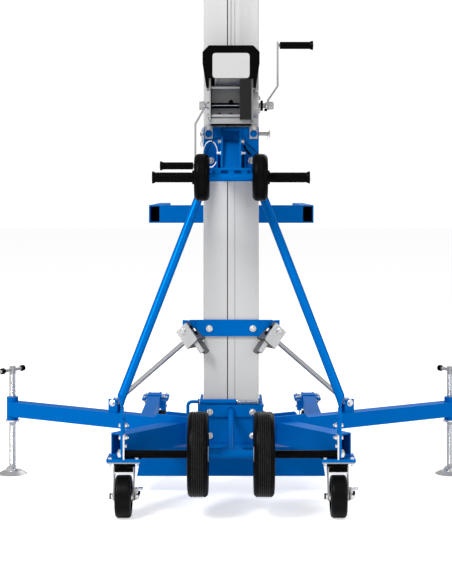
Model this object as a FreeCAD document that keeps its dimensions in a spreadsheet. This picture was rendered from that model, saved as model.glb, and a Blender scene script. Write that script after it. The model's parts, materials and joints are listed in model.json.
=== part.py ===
import FreeCAD, Part
import math
import os
import re
import Sketcher
from FreeCAD import Placement, Rotation, Vector

# A hand-winch material lift. X is across the machine, Y runs forward to the
# fork tips and Z is up from the floor. In the sizes, Y is measured from the
# plane of the rear corners; the origin is midway along the machine.
# Lengths are in millimetres and angles in degrees.

DRIVING_SIZES = (
    # alias, value
    ("seat_gap", 0.3),
    ("moving_gap", 5.5),
    ("shaft_gap", 0.05),
    # base
    ("crossbeam_bottom_half", 305),
    ("crossbeam_top_half", 290),
    ("crossbeam_low", 56),
    ("crossbeam_high", 150),
    ("crossbeam_rear", 306),
    ("crossbeam_depth", 94),
    ("foot_plate", 8),
    ("foot_height", 153),
    ("foot_band", 38),
    ("foot_front_reach", 20),
    ("foot_ledge_height", 28),
    ("foot_ledge_depth", 25),
    ("beam_width", 60),
    ("beam_height", 68.5),
    ("beam_wall", 4),
    ("beam_low", 176.5),
    ("beam_end_across", 341.3),
    ("beam_end_back", 14.6),
    ("beam_angle", 38),
    ("beam_length", 470),
    ("corner_across", 322.5),
    ("corner_back", 10),
    ("corner_plate_side", 102),
    ("corner_plate", 8.5),
    ("leaf_plate", 6),
    ("leaf_width", 35),
    ("leaf_height", 108),
    # axle and transport wheels
    ("axle_back", -23.5),
    ("axle_height", 190),
    ("axle_radius", 10),
    ("spacer_radius", 12),
    ("sleeve_radius", 13),
    ("brace_radius", 9.5),
    ("gusset_half", 50),
    ("gusset_height", 36),
    ("gusset_plate", 5),
    ("transport_radius", 127),
    ("transport_width", 62),
    ("transport_across", 98.5),
    ("transport_hub_radius", 24),
    ("transport_rim_radius", 88),
    ("transport_rim_recess", 14),
    # front legs
    ("leg_across", 295),
    ("leg_width", 45),
    ("leg_height", 45),
    ("leg_length", 880),
    ("leg_rear", 296),
    ("ear_plate", 6),
    ("leg_ear_low", 90),
    ("leg_ear_length", 120),
    ("leg_pin_radius", 8),
    ("collar_wall", 4),
    ("collar_length", 60),
    ("leg_bracket_plate", 17),
    ("leg_bracket_low", 138),
    ("front_caster_forward", 1235),
    # casters
    ("caster_height", 168),
    ("caster_radius", 63.5),
    ("caster_width", 48),
    ("caster_trail", 32),
    ("caster_top_side", 98),
    ("caster_top_plate", 4),
    ("caster_fork_plate", 3.5),
    ("caster_fork_low", 14),
    ("caster_race_radius", 27),
    ("caster_race_height", 14),
    ("caster_fork_half", 28),
    ("brake_plate", 3),
    ("caster_axle_radius", 6),
    ("caster_hub_radius", 17),
    ("caster_rim_radius", 46),
    ("caster_rim_recess", 6),
    # mast
    ("mast_rear", 220),
    ("mast_top", 1960),
    ("column_half", 88),
    ("column_depth", 48),
    ("column_gap", 5.5),
    ("column_box", 26),
    ("column_wall", 3.5),
    ("track_lip", 18),
    ("tongue_depth", 21.5),
    ("tongue_plate", 4),
    ("tongue_inner", 58),
    ("groove_across", 11.5),
    ("groove_width", 3),
    ("groove_depth", 2.2),
    ("column_edge", 3),
    ("lock_bar_low", 519),
    ("lock_bar_height", 52),
    ("lock_bar_top_half", 132),
    ("lock_bar_bottom_half", 90),
    # stabilisers, measured in their own upright plane
    ("arm_root_across", 158),
    ("arm_root_back", 259.5),
    ("arm_sweep", 31),
    ("arm_hinge_out", 60),
    ("arm_low", 201),
    ("arm_height", 49),
    ("arm_width", 50),
    ("arm_reach", 700),
    ("arm_pin_radius", 7),
    ("arm_ear_gap", 1.5),
    ("arm_ear_out", 26),
    ("arm_ear_rise", 13),
    ("lug_out", 260.8),
    ("lug_pin_height", 282.2),
    ("lug_width", 34),
    ("lug_plate", 6),
    ("lug_pin_radius", 6),
    ("rod_radius", 6.5),
    ("eye_half", 8),
    ("rod_tip_out", -40.4),
    ("rod_tip_drop", 19),
    ("jack_radius", 11),
    ("jack_sleeve_radius", 20),
    ("jack_top", 372),
    ("jack_pad_radius", 52),
    ("jack_pad_height", 12),
    ("jack_handle_half", 62),
    ("jack_handle_radius", 6),
    ("box_pivot_out", -31.7),
    ("box_pivot_rise", 19.5),
    ("box_length", 66),
    ("box_width", 41),
    ("box_head", 13),
    ("box_plate", 3),
    ("box_back", -30),
    ("box_slot_length", 33),
    ("box_bolt_radius", 5),
    ("box_ear_plate", 6),
    ("box_tilt", 128.2),
    ("box_tongue_length", 44),
    ("box_tongue_width", 18),
    # handle
    ("frame_tube_radius", 14),
    ("frame_tube_flat", 3.2),
    ("frame_tube_flat_half", 16),
    ("frame_bend_height", 365),
    ("frame_flat_height", 330),
    ("frame_top_across", 65),
    ("frame_top_height", 1056),
    ("frame_tip_height", 1094),
    ("frame_neck_length", 34),
    ("bar_back", -20),
    ("bar_height", 1021),
    ("bar_radius", 12),
    ("bar_half", 236),
    ("grip_radius", 15),
    ("grip_inner", 117),
    ("grip_flare", 3.5),
    ("loading_radius", 71),
    ("loading_width", 46),
    ("loading_across", 87.5),
    ("loading_shoulder", 15),
    ("bracket_plate", 8),
    ("bracket_low", 1040),
    ("bracket_high", 1182),
    ("bracket_wall", 5),
    ("bracket_wall_across", 26),
    ("bracket_gusset_across", 42),
    ("bracket_cover_top", 1138),
    ("shelf_half", 59),
    ("shelf_rear_half", 47),
    ("shelf_taper_back", 180),
    ("shelf_plate", 6),
    ("shelf_rise", 10),
    ("tab_plate", 5),
    ("tab_across", 71),
    ("tab_width", 25),
    ("tab_low", 1145),
    ("tab_high", 1187),
    ("tab_hole_radius", 11.2),
    ("pin_height", 1162),
    ("pin_back", 233),
    ("pin_radius", 6),
    ("pin_left", 99),
    ("pin_right", 125),
    # winch
    ("winch_low", 1188),
    ("winch_high", 1378),
    ("winch_half", 68),
    ("winch_plate", 5),
    ("winch_rear", 88),
    ("winch_strip", 16),
    ("drum_back", 133),
    ("drum_height", 1345),
    ("drum_core", 30),
    ("drum_wound", 33.7),
    ("drum_flange", 42),
    ("drum_half", 50),
    ("drum_journal", 10),
    ("drum_flange_plate", 4),
    ("crank_back", 165),
    ("crank_height", 1247.6),
    ("crank_shaft_radius", 8),
    ("crank_throw", 189),
    ("crank_bar", 6),
    ("crank_bar_width", 22),
    ("crank_hub_radius", 10),
    ("crank_left_inner", 89),
    ("crank_left", 112),
    ("crank_right_inner", 116),
    ("crank_right", 146),
    ("crank_stub_radius", 6),
    ("crank_grip_radius", 11.5),
    ("crank_grip_length", 98),
    ("brake_radius", 37),
    ("brake_width", 17),
    ("hood_half", 88),
    ("hood_high", 1428),
    ("hood_rear", 76),
    ("hood_depth", 128),
    ("hood_side", 19.7),
    ("cover_inner", 27),
    ("cover_outer", 61),
    ("name_plate", 3),
    ("name_plate_half", 57),
    ("name_plate_low", 1327),
    ("name_plate_high", 1404),
    ("name_plate_corner", 9),
    # sheave and cable at the mast top
    ("sheave_radius", 32),
    ("sheave_back", 200),
    ("sheave_drop", 35),
    ("sheave_width", 12),
    ("cable_radius", 2.5),
    # carriage and forks
    ("carriage_half", 76),
    ("carriage_depth", 30),
    ("carriage_height", 620),
    ("fork_low", 871),
    ("fork_height", 60),
    ("fork_width", 40),
    ("fork_wall", 4),
    ("fork_across", 258.5),
    ("fork_length", 750),
    ("upright_across", 56),
    ("upright_side", 40),
    ("upright_length", 520),
    ("fork_pin_radius", 7),
)

DERIVED_SIZES = (
    # alias, formula of the sizes above
    ("crossbeam_front", "crossbeam_rear + crossbeam_depth"),
    ("foot_low", "crossbeam_high + foot_plate"),
    ("foot_high", "crossbeam_high + foot_height"),
    ("foot_half", "column_half + moving_gap + foot_plate"),
    ("foot_rear", "mast_rear - seat_gap - foot_plate"),
    ("column_pitch", "column_depth + column_gap"),
    ("mast_front", "mast_rear + 3 * column_pitch + column_depth"),
    ("foot_front", "mast_front + foot_front_reach"),
    ("beam_high", "beam_low + beam_height"),
    ("leaf_inner", "beam_end_across - beam_width * cos(beam_angle) / 2"),
    ("leaf_outer", "leaf_inner + leaf_plate"),
    ("leaf_rear", "axle_back - leaf_width / 2"),
    ("frame_foot_across", "leaf_outer + frame_tube_flat + seat_gap / 3"),
    ("arm_middle", "arm_low + arm_height / 2"),
    ("leg_low", "crossbeam_high"),
    ("leg_high", "leg_low + leg_height"),
    ("leg_front", "leg_rear + leg_length"),
    ("caster_plate_low", "caster_height - caster_top_plate"),
    ("fork_top", "fork_low + fork_height"),
    ("carriage_rear", "mast_front + column_gap"),
    ("carriage_front", "carriage_rear + carriage_depth"),
    ("fork_rear", "carriage_front + upright_side"),
    ("machine_rear", "axle_back - transport_radius"),
    ("machine_front", "front_caster_forward + corner_plate_side / 2"),
    ("shelf_low", "bar_height + bar_radius + shelf_rise"),
    ("sheave_height", "mast_top - sheave_drop"),
    ("box_pivot_height", "lock_bar_low + box_pivot_rise"),
    ("rod_tip_height", "box_pivot_height - rod_tip_drop"),
    ("bracket_rear", "mast_rear - seat_gap - bracket_plate"),
    ("middle", "(machine_rear + machine_front) / 2"),
)

document = FreeCAD.newDocument("MaterialLift")
sheet = document.addObject("Spreadsheet::Sheet", "Sizes")
parts = []


def fill_sheet():
    """Write every size into the sheet and give its cell an alias."""
    for row, (alias, number) in enumerate(DRIVING_SIZES, start=1):
        sheet.set(f"A{row}", str(number))
        sheet.setAlias(f"A{row}", alias)
    document.recompute()
    for row, (alias, text) in enumerate(DERIVED_SIZES, start=1):
        sheet.set(f"B{row}", "=" + text)
        sheet.setAlias(f"B{row}", alias)
        document.recompute()


ALIASES = {alias for alias, _ in DRIVING_SIZES + DERIVED_SIZES}


def formula(text):
    """Put the sheet's name before each alias in a formula."""
    def named(match):
        word = match.group(0)
        return "Sizes." + word if word in ALIASES else word
    return re.sub(r"[a-z_]+", named, str(text))


def value(text):
    """Work out a formula of the sheet's sizes."""
    return float(sheet.evalExpression(formula(text)))


def bind(item, **texts):
    """Bind properties of an object to formulas."""
    for prop, text in texts.items():
        item.setExpression(prop, formula(text))


def set_place(item, x, y, z, local=False):
    """Bind an object's place; a machine-wide Y is counted from the middle."""
    item.setExpression("Placement.Base.x", formula(x))
    item.setExpression("Placement.Base.y", formula(y if local else f"({y}) - middle"))
    item.setExpression("Placement.Base.z", formula(z))


def block(name, x, y, z, local=False):
    """A box between pairs of formulas along each axis."""
    box = document.addObject("Part::Box", name)
    bind(box, Length=f"({x[1]}) - ({x[0]})", Width=f"({y[1]}) - ({y[0]})")
    bind(box, Height=f"({z[1]}) - ({z[0]})")
    set_place(box, x[0], y[0], z[0], local)
    return box


ALONG = {
    "X": Rotation(Vector(0, 1, 0), 90),
    "Y": Rotation(Vector(1, 0, 0), -90),
    "Z": Rotation(),
}


def rod(name, radius, start, length, axis, local=False):
    """A cylinder from a start point along one axis."""
    cylinder = document.addObject("Part::Cylinder", name)
    cylinder.Placement.Rotation = ALONG[axis]
    bind(cylinder, Radius=radius, Height=length)
    set_place(cylinder, *start, local)
    return cylinder


def fused(name, *pieces):
    """One welded piece."""
    joined = document.addObject("Part::MultiFuse", name)
    joined.Shapes = list(pieces)
    return joined


def cut(name, base, tool):
    """A piece with a tool's shape taken away."""
    result = document.addObject("Part::Cut", name)
    result.Base = base
    result.Tool = tool
    return result


def origin_plane(body, role):
    """One of a body's own origin planes."""
    return next(item for item in body.Origin.OriginFeatures if item.Role == role)


def outline(body, name, plane, loops):
    """A sketch of closed outlines, each corner bound to two formulas."""
    sketch = body.newObject("Sketcher::SketchObject", name)
    sketch.AttachmentSupport = [(origin_plane(body, plane), "")]
    sketch.MapMode = "FlatFace"
    first = 0
    for corners in loops:
        points = [Vector(value(x), value(y), 0) for x, y in corners]
        count = len(points)
        for number in range(count):
            line = Part.LineSegment(points[number], points[(number + 1) % count])
            sketch.addGeometry(line, False)
        for number in range(count):
            here = first + number
            after = first + (number + 1) % count
            sketch.addConstraint(Sketcher.Constraint("Coincident", here, 2, after, 1))
        for number, (x, y) in enumerate(corners):
            for kind, text, size in (("DistanceX", x, points[number].x),
                                     ("DistanceY", y, points[number].y)):
                rule = Sketcher.Constraint(kind, -1, 1, first + number, 1, size)
                index = sketch.addConstraint(rule)
                sketch.setExpression(f"Constraints[{index}]", formula(text))
        first += count
    return sketch


def prism(name, plane, loops, start, length, local=False):
    """A body padded from outlines along the axis across their plane."""
    body = document.addObject("PartDesign::Body", name)
    document.recompute()
    sketch = outline(body, name + "_outline", plane + "_Plane", loops)
    pad = body.newObject("PartDesign::Pad", name + "_pad")
    pad.Profile = sketch
    bind(pad, Length=length)
    sketch.Visibility = False
    if plane == "XY":
        set_place(body, "0", "0", start, local)
    elif plane == "XZ":
        set_place(body, "0", f"({start}) + ({length})", "0", local)
    else:
        set_place(body, start, "0", "0", local)
    return body


def turned(name, corners, centre, local=False):
    """A body revolved about its own X axis; corners are (along, radius)."""
    body = document.addObject("PartDesign::Body", name)
    document.recompute()
    sketch = outline(body, name + "_outline", "XZ_Plane", [corners])
    spin = body.newObject("PartDesign::Revolution", name + "_revolution")
    spin.Profile = sketch
    spin.ReferenceAxis = (sketch, ["H_Axis"])
    spin.Angle = 360
    set_place(body, *centre, local)
    return body


def round_rims(body, radius, rim):
    """Fillet the two outer circles of a turned body."""
    document.recompute()
    tip = body.Tip
    names = []
    for number, edge in enumerate(tip.Shape.Edges, start=1):
        curve = edge.Curve
        if isinstance(curve, Part.Circle) and abs(curve.Radius - value(rim)) < 0.01:
            names.append(f"Edge{number}")
    fillet = body.newObject("PartDesign::Fillet", body.Name + "_shoulder")
    fillet.Base = (tip, names)
    bind(fillet, Radius=radius)
    return body


def keep(item, label):
    """Register a finished sub-part under its own label."""
    item.Label = label
    parts.append(item)
    return item


def mirrored(item, label):
    """The same piece on the machine's other side."""
    copy = document.addObject("Part::Mirroring", label + "_mirror")
    copy.Source = item
    copy.Normal = (1, 0, 0)
    return keep(copy, label)


def pair(item, stem):
    """Keep a right-hand piece and its mirror image."""
    keep(item, stem + "_right")
    mirrored(item, stem + "_left")


def from_shape(shape, label):
    """Keep a shape made point by point, counted from the machine's middle."""
    feature = document.addObject("Part::Feature", label)
    feature.Shape = shape
    feature.Placement = Placement(Vector(0, -value("middle"), 0), Rotation())
    return keep(feature, label)


def stand_in_arm_plane(item):
    """Turn a piece into the right-hand stabiliser's upright plane."""
    item.Placement.Rotation = Rotation(Vector(0, 0, 1), value("arm_sweep"))
    set_place(item, "arm_root_across", "arm_root_back", "0")
    return item


def rectangle(x, y):
    """Corners of a rectangle between pairs of formulas."""
    return [(x[0], y[0]), (x[1], y[0]), (x[1], y[1]), (x[0], y[1])]


def flat_ring(centre, half_x, half_y):
    """A level ellipse wire with its long axis along X or Y."""
    if half_x >= half_y:
        ellipse = Part.Ellipse(centre, half_x, half_y)
    else:
        ellipse = Part.Ellipse(centre + Vector(0, half_y, 0), centre + Vector(half_x, 0, 0), centre)
    return Part.Wire([ellipse.toShape()])


def build_crossbeam():
    """The low beam across the machine, with the front legs' hinge ears."""
    beam = prism(
        "crossbeam_box", "XZ",
        [[("-crossbeam_bottom_half", "crossbeam_low"),
          ("crossbeam_bottom_half", "crossbeam_low"),
          ("crossbeam_top_half", "crossbeam_high"),
          ("-crossbeam_top_half", "crossbeam_high")]],
        "crossbeam_rear", "crossbeam_depth")
    pieces = [beam]
    for side, sign in (("right", "1"), ("left", "-1")):
        inner = f"{sign} * leg_across - leg_width / 2"
        outer = f"{sign} * leg_across + leg_width / 2"
        ends = ("leg_rear", "leg_rear + leg_ear_length")
        rise = ("leg_ear_low", "leg_high - 8")
        pieces.append(block(f"ear_a_{side}", (f"{inner} - ear_plate", inner), ends, rise))
        pieces.append(block(f"ear_b_{side}", (outer, f"{outer} + ear_plate"), ends, rise))
        pieces.append(block(f"ear_floor_{side}", (f"{inner} - ear_plate", f"{outer} + ear_plate"),
                            ends, ("leg_ear_low", "leg_low")))
    bores = rod("leg_pin_bore", "leg_pin_radius",
                ("-crossbeam_bottom_half - 50", "leg_rear + leg_ear_length - 30",
                 "leg_low + leg_height / 2"), "2 * crossbeam_bottom_half + 100", "X")
    keep(cut("crossbeam_bored", fused("crossbeam_weld", *pieces), bores), "base_crossbeam")


def build_mast_foot():
    """The open-topped shoe that holds the mast over the crossbeam."""
    across = ("-foot_half", "foot_half")
    floor = block("foot_floor", across, ("foot_rear", "foot_front"), ("crossbeam_high", "foot_low"))
    wall = block("foot_wall", across, ("foot_rear", "foot_rear + foot_plate"),
                 ("foot_low", "foot_high"))
    band = block("foot_band_bar", across, ("foot_rear - foot_plate", "foot_rear"),
                 ("foot_high - foot_band", "foot_high"))
    ledge = block("foot_ledge", across, ("foot_rear - foot_ledge_depth", "foot_rear"),
                  ("crossbeam_high + foot_ledge_height - foot_plate",
                   "crossbeam_high + foot_ledge_height"))
    cheeks = []
    for side, x in (("left", ("-foot_half", "foot_plate - foot_half")),
                    ("right", ("foot_half - foot_plate", "foot_half"))):
        cheeks.append(block(f"foot_cheek_{side}", x, ("foot_rear + foot_plate", "foot_front"),
                            ("foot_low", "foot_high - 3")))
    keep(fused("foot_weld", floor, wall, band, ledge, *cheeks), "mast_foot")


def splayed_beam(name, start, inset):
    """A bar along the right-hand rear beam's line, inset from the tube's outside."""
    bar = document.addObject("Part::Box", name)
    bind(bar, Length=f"beam_length - ({start})", Width=f"beam_width - 2 * {inset}")
    bind(bar, Height=f"beam_height - 2 * {inset}")
    bar.Placement.Rotation = Rotation(Vector(0, 0, 1), 90 + value("beam_angle"))
    half = f"(beam_width / 2 - {inset})"
    set_place(bar,
              f"beam_end_across - ({start}) * sin(beam_angle) + {half} * cos(beam_angle)",
              f"beam_end_back + ({start}) * cos(beam_angle) + {half} * sin(beam_angle)",
              f"beam_low + {inset}")
    return bar


def build_rear_beams():
    """The two splayed box beams and the plates their casters bolt to."""
    tube = cut("beam_hollow", splayed_beam("beam_outer", "0", "0"),
               splayed_beam("beam_inner", "-1", "beam_wall"))
    beyond = block("beam_beyond", ("-400", "foot_half"), ("0", "700"), ("0", "500"))
    plate = block("corner_plate_box",
                  ("corner_across - corner_plate_side / 2", "corner_across + corner_plate_side / 2"),
                  ("corner_back - corner_plate_side / 2", "corner_back + corner_plate_side / 2"),
                  ("beam_low - corner_plate", "beam_low"))
    pair(fused("rear_beam_weld", cut("beam_trimmed", tube, beyond), plate), "rear_beam")


def both_sides(name, piece, label):
    """One node that holds a right-hand piece and its mirror image."""
    other = document.addObject("Part::Mirroring", name + "_mirror")
    other.Source = piece
    other.Normal = (1, 0, 0)
    group = document.addObject("Part::Compound", name + "_set")
    group.Links = [piece, other]
    return keep(group, label)


def build_stabiliser_ears():
    """The hinge ears welded to the rear beams, with their pins."""
    start = "-arm_width / 2 - arm_ear_gap - ear_plate"
    ears = []
    for name, offset in (("rear", start), ("front", "arm_width / 2 + arm_ear_gap")):
        plate = prism(
            f"arm_ear_{name}", "XZ",
            [[("-70", "beam_low"), ("arm_hinge_out + arm_ear_out - 10", "beam_low"),
              ("arm_hinge_out + arm_ear_out", "beam_low + 10"),
              ("arm_hinge_out + arm_ear_out", "arm_low + arm_height"),
              ("arm_hinge_out + arm_ear_out - 12", "arm_low + arm_height + arm_ear_rise"),
              ("-70", "arm_low + arm_height + arm_ear_rise")]],
            offset, "ear_plate", local=True)
        ears.append(plate)
    pin = rod("arm_pin", "arm_pin_radius", ("arm_hinge_out", f"{start} - 6", "arm_middle"),
              "arm_width + 2 * (arm_ear_gap + ear_plate + 6)", "Y", local=True)
    head = rod("arm_pin_head", "arm_pin_radius + 3",
               ("arm_hinge_out", f"{start} - 6", "arm_middle"), "6", "Y", local=True)
    placed = stand_in_arm_plane(fused("arm_ears_placed", *ears, pin, head))
    beam = splayed_beam("beam_in_ears", "-1", "0")
    beyond = block("ears_beyond", ("-400", "foot_half"), ("0", "700"), ("0", "500"))
    both_sides("arm_ears", cut("ears_trimmed", cut("ears_on_beam", placed, beam), beyond),
               "stabiliser_ears")


def build_corner_leaves():
    """The upright plates that carry the axle's ends and the handle frame's feet."""
    leaf = block("corner_leaf", ("leaf_inner", "leaf_outer"),
                 ("leaf_rear", "leaf_rear + leaf_width"), ("beam_low", "beam_low + leaf_height"))
    bore = rod("leaf_bore", "axle_radius", ("leaf_inner - 1", "axle_back", "axle_height"),
               "leaf_plate + 2", "X")
    beam = splayed_beam("beam_in_leaf", "-1", "0")
    both_sides("corner_leaf", cut("leaf_clear", cut("leaf_pierced", leaf, bore), beam),
               "corner_leaves")


def build_axle():
    """The fixed axle, its sleeve between the wheels and the brace to the mast foot."""
    inner = "transport_across - transport_width / 2 - 0.3"
    outer = "transport_across + transport_width / 2 + 0.3"
    tip = "leaf_outer + 12"
    keep(turned(
        "axle_bar",
        [(f"-({tip})", "0"), (tip, "0"), (tip, "axle_radius"), ("leaf_inner", "axle_radius"),
         ("leaf_inner", "spacer_radius"), (outer, "spacer_radius"), (outer, "axle_radius"),
         (f"-({outer})", "axle_radius"), (f"-({outer})", "spacer_radius"),
         ("-leaf_inner", "spacer_radius"), ("-leaf_inner", "axle_radius"),
         (f"-({tip})", "axle_radius")],
        ("0", "axle_back", "axle_height")), "rear_axle")
    sleeve = turned(
        "axle_sleeve",
        [(f"-({inner})", "axle_radius"), (inner, "axle_radius"),
         (inner, "sleeve_radius"), (f"-({inner})", "sleeve_radius")],
        ("0", "axle_back", "axle_height"))
    rise = value("foot_high - foot_band / 2 - axle_height")
    run = value("foot_rear - foot_plate - axle_back")
    tube = document.addObject("Part::Cylinder", "brace_tube")
    bind(tube, Radius="brace_radius")
    lean = math.degrees(math.atan2(run, rise))
    tube.Placement.Rotation = Rotation(Vector(1, 0, 0), -lean)
    tube.Height = math.hypot(run, rise) + value("brace_radius")
    set_place(tube, "0", "axle_back", "axle_height")
    gusset = prism(
        "brace_gusset", "XZ",
        [[("-gusset_half", "sleeve_radius - 1"), ("gusset_half", "sleeve_radius - 1"),
          ("brace_radius", "sleeve_radius + gusset_height"),
          ("-brace_radius", "sleeve_radius + gusset_height")]],
        "-gusset_plate / 2", "gusset_plate", local=True)
    leaning = fused("gusset_leaning", gusset, rod(
        "gusset_core", "brace_radius", ("0", "0", "sleeve_radius - 1"), "gusset_height", "Z",
        local=True))
    leaning.Placement.Rotation = Rotation(Vector(1, 0, 0), -lean)
    set_place(leaning, "0", "axle_back", "axle_height")
    bore = rod("sleeve_bore", "axle_radius", ("-150", "axle_back", "axle_height"), "300", "X")
    behind = block("foot_behind", ("-60", "60"), ("foot_rear - foot_plate", "foot_rear + 60"),
                   ("crossbeam_high", "foot_high + 60"))
    weld = fused("brace_weld", sleeve, tube, leaning)
    keep(cut("brace_trimmed", cut("brace_bored", weld, bore), behind), "axle_brace")


def build_wheel(name, radius, width, bore, hub, rim, recess, shoulder, centre):
    """A wheel with a recessed rim face each side and rounded shoulders."""
    half = f"{width} / 2"
    body = turned(
        name,
        [(f"-{half}", bore), (half, bore), (half, hub), (f"{half} - {recess}", hub),
         (f"{half} - {recess}", rim), (half, rim), (half, radius), (f"-{half}", radius),
         (f"-{half}", rim), (f"{recess} - {half}", rim), (f"{recess} - {half}", hub),
         (f"-{half}", hub)],
        centre)
    return round_rims(body, shoulder, radius)


def build_transport_wheels():
    """The two large wheels on the rear axle, clear of the floor."""
    pair(build_wheel("transport_tyre", "transport_radius", "transport_width",
                     "axle_radius + shaft_gap", "transport_hub_radius", "transport_rim_radius",
                     "transport_rim_recess", "14",
                     ("transport_across", "axle_back", "axle_height")), "transport_wheel")


def build_front_legs():
    """The straddle legs with their end collars, caster plates and side brackets."""
    inner = "leg_across - leg_width / 2"
    outer = "leg_across + leg_width / 2"
    leg = block("leg_tube", (inner, outer), ("leg_rear", "leg_front"), ("leg_low", "leg_high"))
    collar = block("leg_collar", (f"{inner} - collar_wall", f"{outer} + collar_wall"),
                   ("leg_front - collar_length", "leg_front + collar_wall"),
                   ("leg_low - collar_wall", "leg_high + collar_wall"))
    plate = block("front_plate",
                  ("leg_across - corner_plate_side / 2", "leg_across + corner_plate_side / 2"),
                  ("leg_front + collar_wall", "machine_front"),
                  ("caster_height", "caster_height + corner_plate"))
    ribs = []
    for name, side in (("inner", inner), ("outer", f"{outer} - collar_wall")):
        ribs.append(prism(
            f"front_rib_{name}", "YZ",
            [[("leg_front + collar_wall - middle", "caster_height + corner_plate"),
              ("machine_front - 24 - middle", "caster_height + corner_plate"),
              ("leg_front + collar_wall + 18 - middle", "leg_high + collar_wall"),
              ("leg_front + collar_wall - middle", "leg_high + collar_wall")]],
            side, "collar_wall", local=True))
    hanger = block("leg_bracket",
                   (f"{inner} - collar_wall - leg_bracket_plate", f"{inner} - collar_wall"),
                   ("leg_front - collar_length + 6", "leg_front - 4"),
                   ("leg_bracket_low", "leg_high - 20"))
    pins = rod("leg_pin", "leg_pin_radius",
               (f"{inner} - ear_plate - 4", "leg_rear + leg_ear_length - 30", "leg_low + leg_height / 2"),
               "leg_width + 2 * ear_plate + 8", "X")
    pair(fused("leg_weld", leg, collar, plate, hanger, pins, *ribs), "front_leg")


CASTERS = (
    # name, side, across, forward, swivel
    ("rear_right", "1", "corner_across", "corner_back", 0),
    ("rear_left", "-1", "corner_across", "corner_back", 0),
    ("front_right", "1", "leg_across", "front_caster_forward", 0),
    ("front_left", "-1", "leg_across", "front_caster_forward", 30),
)


def build_casters():
    """Four swivel casters: fixed top plates, swivelling forks and wheels."""
    plates = []
    for name, side, across, forward, swivel in CASTERS:
        x = f"{side} * {across}"
        plates.append(block(f"{name}_top",
                            (f"{x} - caster_top_side / 2", f"{x} + caster_top_side / 2"),
                            (f"{forward} - caster_top_side / 2", f"{forward} + caster_top_side / 2"),
                            ("caster_plate_low", "caster_height")))
        turn = Rotation(Vector(0, 0, 1), swivel)
        fork = build_caster_fork(name)
        fork.Placement.Rotation = turn
        set_place(fork, x, forward, "0")
        keep(fork, f"caster_fork_{name}")
        wheel = build_wheel(f"{name}_wheel", "caster_radius", "caster_width",
                            "caster_axle_radius + shaft_gap", "caster_hub_radius",
                            "caster_rim_radius", "caster_rim_recess", "9",
                            (f"{x} + caster_trail * sin({swivel})",
                             f"{forward} - caster_trail * cos({swivel})", "caster_radius"))
        wheel.Placement.Rotation = turn
        keep(wheel, f"caster_wheel_{name}")
    compound = document.addObject("Part::Compound", "caster_plate_set")
    compound.Links = plates
    keep(compound, "caster_plates")


def build_caster_fork(name):
    """A pressed fork about its swivel: race, crown, raked cheeks, axle and side brake."""
    race_high = "caster_plate_low - seat_gap"
    crown_high = f"{race_high} - caster_race_height"
    race = rod(f"{name}_race", "caster_race_radius", ("0", "0", crown_high),
               "caster_race_height", "Z", local=True)
    outer = "caster_fork_half + caster_fork_plate"
    crown = block(f"{name}_crown", (f"-({outer})", outer), ("-27", "26"),
                  (f"{crown_high} - caster_fork_plate", crown_high), local=True)
    cheeks = []
    for side, start in (("left", f"-({outer})"), ("right", "caster_fork_half")):
        cheeks.append(prism(
            f"{name}_cheek_{side}", "YZ",
            [[("26", crown_high), ("24", f"{crown_high} - 15"), ("8", f"{crown_high} - 34"),
              ("caster_fork_low - caster_trail", "caster_radius + 4"),
              ("caster_fork_low - 4 - caster_trail", "caster_radius - 10"),
              ("-caster_trail", "caster_radius - caster_fork_low"),
              ("4 - caster_fork_low - caster_trail", "caster_radius - 10"),
              ("-caster_fork_low - caster_trail", "caster_radius + 2"),
              ("-caster_fork_low - caster_trail", "caster_radius + 12"),
              ("-27", f"{crown_high} - 22"), ("-27", crown_high)]],
            start, "caster_fork_plate", local=True))
    axle = rod(f"{name}_axle", "caster_axle_radius",
               (f"-({outer}) - 8", "-caster_trail", "caster_radius"), f"2 * ({outer} + 8)", "X",
               local=True)
    plate = prism(
        f"{name}_brake", "YZ",
        [[("-caster_trail - 12", "caster_radius - 9"), ("-caster_trail + 12", "caster_radius - 9"),
          ("-caster_trail + 12", "caster_radius + 14"), ("-caster_trail - 14", "caster_radius + 30"),
          ("-caster_trail - 22", "caster_radius + 26")]],
        f"{outer} + 3", "brake_plate", local=True)
    pedal = block(f"{name}_pedal", (f"{outer} + 3", f"{outer} + 26"),
                  ("-caster_trail - 22", "-caster_trail - 4"),
                  ("caster_radius + 24", "caster_radius + 27"), local=True)
    stem = block(f"{name}_brake_stem", ("caster_fork_half", f"{outer} + 3"),
                 ("-caster_trail - 6", "-caster_trail + 6"),
                 ("caster_radius - 6", "caster_radius + 8"), local=True)
    return fused(f"{name}_fork_weld", race, crown, *cheeks, axle, plate, pedal, stem)


def column_corners(tongue):
    """Half a column's outline, from its rear centre round to its front track."""
    corners = [
        ("groove_across - groove_width / 2", "0"),
        ("groove_across - groove_width / 2", "groove_depth"),
        ("groove_across + groove_width / 2", "groove_depth"),
        ("groove_across + groove_width / 2", "0"),
    ]
    if tongue:
        lip = "column_half - column_wall - moving_gap"
        corners = [
            ("tongue_inner", "0"),
            ("tongue_inner", "-tongue_depth"),
            (lip, "-tongue_depth"),
            (lip, "tongue_plate - tongue_depth"),
            ("tongue_inner + tongue_plate", "tongue_plate - tongue_depth"),
            ("tongue_inner + tongue_plate", "0"),
        ]
    corners += [
        ("column_half - column_edge", "0"),
        ("column_half", "column_edge"),
        ("column_half", "column_depth"),
        ("column_half - track_lip", "column_depth"),
        ("column_half - track_lip", "column_depth - column_wall"),
        ("column_half - column_wall", "column_depth - column_wall"),
        ("column_half - column_wall", "column_box"),
    ]
    return corners


def column_loops(tongue):
    """A column's full outline and its hollow, in plan."""
    right = column_corners(tongue)
    left = [(f"-({x})", y) for x, y in reversed(right)]
    hollow = rectangle(("column_wall - column_half", "column_half - column_wall"),
                       ("column_wall", "column_box - column_wall"))
    return [right + left, hollow]


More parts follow.
